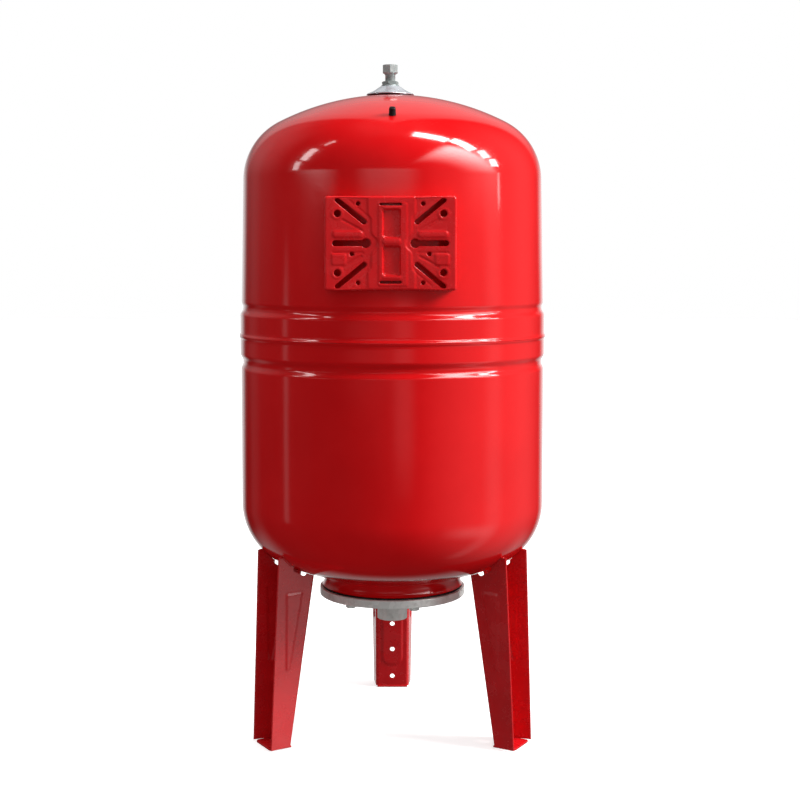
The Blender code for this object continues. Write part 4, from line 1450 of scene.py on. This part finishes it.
def mounting_plate():
    rim = plate_rim()
    flat, faces, on_lip, outer = plate_face(rim, plate_holes())
    front = []
    back = []
    for (x, z), lipped in zip(flat, on_lip):
        y = PLATE_FRONT - relief(x, z)
        front.append((PLATE_X + x, y + (0.0005 if lipped else 0.0), PLATE_Z + z))
        back.append((PLATE_X + x, y + PLATE_SHEET, PLATE_Z + z))
    verts = front + back
    count = len(front)
    all_faces = [list(face) for face in faces]
    all_faces += [[vert + count for vert in face[::-1]] for face in faces]
    all_faces += lip_walls(faces, set(outer.values()), count)
    all_faces += plate_skirt(rim, outer, verts)
    plate = made("plate", verts, all_faces, plate_coat, 42)
    stand_in(plate, ["mounting_plate"])


mounting_plate()


# Stage

SKY_DIM = 0.012
SKY_CEILING = 0.42
SKY_VEIL = 14
SKY_MATT = 0.50
SKY_MATT_BELOW = 0.22
# Soft bright areas: (bearings, elevations, softness of each, level), in degrees. Bearing 0 looks
# out along -Y and 90 along +X.
PATCHES = (
    ((74, 88), (-60, 14), (6, 6), 0.32),
    ((2, 15), (-8.5, -0.5), (5, 1.5), 0.30),
    ((-22, 16), (4.6, 10), (9, 0.6), 0.85),
    ((-32, 0), (-4.6, -2.6), (10, 2), 0.12),
    ((-70, -48), (4.6, 9), (10, 0.6), 1.5),
    ((-134, -120), (-40, 30), (5, 5), 0.05),
    ((-88, -84), (-14, 1), (2, 2), 0.55),
    ((-150, -100), (5, 50), (14, 14), 0.22),
    ((48, 80), (-30, -18), (14, 8), 0.7),
)
KEY_AZIMUTH = math.radians(76)
KEY_LEVEL = 29
KEY_DISTANCE = 4
OVERHEAD_LEVEL = 3.8
# Strips the paint reflects: (name, start and end of its arc over the vessel in degrees from straight
# up, lean towards +Y, width, level)
STRIPS = (
    ("strip_right_a", 11, 33.5, -0.28, 0.40, 26),
    ("strip_right_b", 34.5, 54, -0.215, 0.38, 26),
    ("strip_right_c", 56.5, 67, -0.125, 0.34, 20),
    ("strip_right_d", 69, 78, -0.06, 0.28, 24),
    ("strip_right_e", 85.5, 89, -0.03, 0.08, 6),
    ("strip_left_a", -70, -53, -0.235, 0.26, 9),
    ("strip_left_b", -83, -72, -0.18, 0.22, 7),
    ("strip_left_c", -46, -37, -0.27, 0.08, 10),
)
STRIP_DISTANCE = 2.4
CAMERA_PLACE = (0, -2.18658, 0.71326)
CAMERA_DIP = 3.553
CAMERA_LENS = 65.7855
CAMERA_SHIFT = (0.00962, -0.07)
FLOOR_RADIUS = 14
FLOOR_SIDES = 64


def floor_finish():
    """A pale matt floor that glows a little, so that it meets the white behind it."""
    f = Finish("pale_floor", Specular_IOR_Level=0.2, Emission_Strength=0.62)
    f.base(f.noise(1.5, 2), (0.3, 0.7), (0.84, 0.84, 0.84), (0.88, 0.88, 0.88))
    f.shader.inputs["Emission Color"].default_value = (1, 1, 1, 1)
    return f.done(f.span(f.noise(2), 0.3, 0.7, 0.6, 0.7))


def floor():
    verts = [(0, 0, 0)] + [(FLOOR_RADIUS * x, FLOOR_RADIUS * y, 0) for x, y in circle(1, FLOOR_SIDES)]
    faces = [(0, i, i % FLOOR_SIDES + 1) for i in range(1, FLOOR_SIDES + 1)]
    ground = made("floor", verts, faces, floor_finish())
    ground.location.z = -0.0004
    ground.visible_glossy = False
    ground.visible_diffuse = False


def patch(n, turn, rise, spec):
    """A soft-edged bright area between two bearings and two elevations."""
    turns, rises, fades, level = spec
    parts = []
    for source, (low, high), fade in ((turn, turns, fades[0]), (rise, rises, fades[1])):
        away = n.maths("ABSOLUTE", n.maths("SUBTRACT", source, (low + high) / 2))
        half = (high - low) / 2
        parts.append(n.span(away, half + fade, max(half - fade, 0.0)))
    return n.product(*parts, level)


def hall(n, x, y, z):
    """What the paint reflects, apart from the strip lights: a dim hall, brighter to the right."""
    degrees = 180 / math.pi
    turn = n.product(n.maths("ARCTAN2", x, n.product(y, -1.0)), degrees)
    rise = n.product(n.maths("ARCSINE", z), degrees)
    parts = [n.product(n.span(x, 0.25, 0.95), n.span(y, 1.0, 0.3, to_high=0.30))]
    parts += [patch(n, turn, rise, spec) for spec in PATCHES]

    spread = n.product(n.maths("ABSOLUTE", x), 1.4)
    reach = n.maths("SUBTRACT", n.maths("SUBTRACT", y, n.product(z, 0.14)), spread)
    parts.append(n.product(n.span(reach, -0.06, 0.12), n.span(z, 0.02, 0.5), SKY_CEILING))
    parts.append(n.product(n.span(y, 0.81, 0.97, to_high=0.9), n.span(z, 0.25, 0.0)))
    parts.append(n.product(n.span(y, 0.40, 0.72, to_high=0.32), n.span(z, -0.3, -0.55)))

    # The veil: a second, paler band that follows the strips on the right shoulder
    arc = n.product(n.maths("ARCTAN2", x, z), degrees)
    below = n.maths("SUBTRACT", n.maths("ADD", y, 0.69), n.product(arc, 0.0067))
    veil = n.product(n.span(below, 0.10, -0.02), n.span(below, -0.52, 0.0), n.span(arc, 33, 43))
    parts.append(n.product(veil, n.span(arc, 100, 45), n.span(arc, 88, 80), SKY_VEIL))

    glow = SKY_DIM
    for part in parts:
        glow = n.maths("ADD", glow, part)
    return glow


def studio_world():
    """White to the camera, an even glow on matt surfaces, and the hall in reflections."""
    world = bpy.data.worlds.new("studio")
    bpy.context.scene.world = world
    world.use_nodes = True
    world.node_tree.nodes.clear()
    n = Nodes(world.node_tree)
    way = n.add("ShaderNodeSeparateXYZ")
    n.wire(n.add("ShaderNodeTexCoord").outputs["Generated"], way.inputs["Vector"])
    x, y, z = way.outputs
    glow = hall(n, x, y, z)
    matt = n.maths("SUBTRACT", SKY_MATT, n.span(z, 0.1, -0.8, to_high=SKY_MATT_BELOW))
    rays = n.add("ShaderNodeLightPath")
    level = n.mix("FLOAT", rays.outputs["Is Glossy Ray"], matt, glow)
    level = n.mix("FLOAT", rays.outputs["Is Camera Ray"], level, 1.0)
    back = n.add("ShaderNodeBackground")
    back.inputs["Color"].default_value = (1, 1, 1, 1)
    n.wire(level, back.inputs["Strength"])
    n.wire(back.outputs["Background"], n.add("ShaderNodeOutputWorld").inputs["Surface"])


def panel_light(name, place, target, size, level, glossy=True, along=(0, 0, 1)):
    """A soft rectangular light with its long side along a direction.

    A glossy one shows in the paint only, as bright as its level; the others light matt surfaces.
    """
    light = bpy.data.lights.new(name, "AREA")
    light.shape = "RECTANGLE"
    light.size, light.size_y = size
    light.energy = level * math.pi * size[0] * size[1]
    obj = placed(name, light)
    back = (Vector(place) - Vector(target)).normalized()
    side = Vector(along)
    side = (side - back * side.dot(back)).normalized()
    turn = Matrix((side, back.cross(side), back)).transposed()
    obj.matrix_world = Matrix.Translation(place) @ turn.to_4x4()
    obj.visible_camera = False
    obj.visible_glossy = glossy
    obj.visible_diffuse = not glossy


def studio_lights():
    middle = Vector((0, 0, 0.6))
    key_way = Vector((math.sin(KEY_AZIMUTH), -math.cos(KEY_AZIMUTH), 0.60)).normalized()
    key_place = middle + key_way * KEY_DISTANCE
    panel_light("key", key_place, middle, (1.6, 1.6), KEY_LEVEL, False)
    crown = (0, 0, 0.9)
    panel_light("overhead", (0, -0.2, 3.9), crown, (2.0, 2.0), OVERHEAD_LEVEL, False, (1, 0, 0))
    shoulder = Vector((0.05, -0.2, 0.87))
    for name, start, end, lean, width, level in STRIPS:
        arc = math.radians((start + end) / 2)
        reach = math.sqrt(1 - lean**2)
        way = Vector((math.sin(arc) * reach, lean, math.cos(arc) * reach))
        along = (math.cos(arc), 0, -math.sin(arc))
        length = 2 * STRIP_DISTANCE * math.tan(math.radians(abs(end - start) / 2)) * reach
        place = shoulder + way * STRIP_DISTANCE
        panel_light(name, place, shoulder, (length, width), level, True, along)


def camera():
    data = bpy.data.cameras.new("camera")
    obj = placed("camera", data)
    obj.location = CAMERA_PLACE
    obj.rotation_euler = (math.radians(90 - CAMERA_DIP), 0, 0)
    data.sensor_width = 36
    data.lens = CAMERA_LENS
    data.shift_x, data.shift_y = CAMERA_SHIFT
    bpy.context.scene.camera = obj


floor()
studio_world()
studio_lights()
camera()
bpy.context.scene.view_settings.view_transform = "Standard"
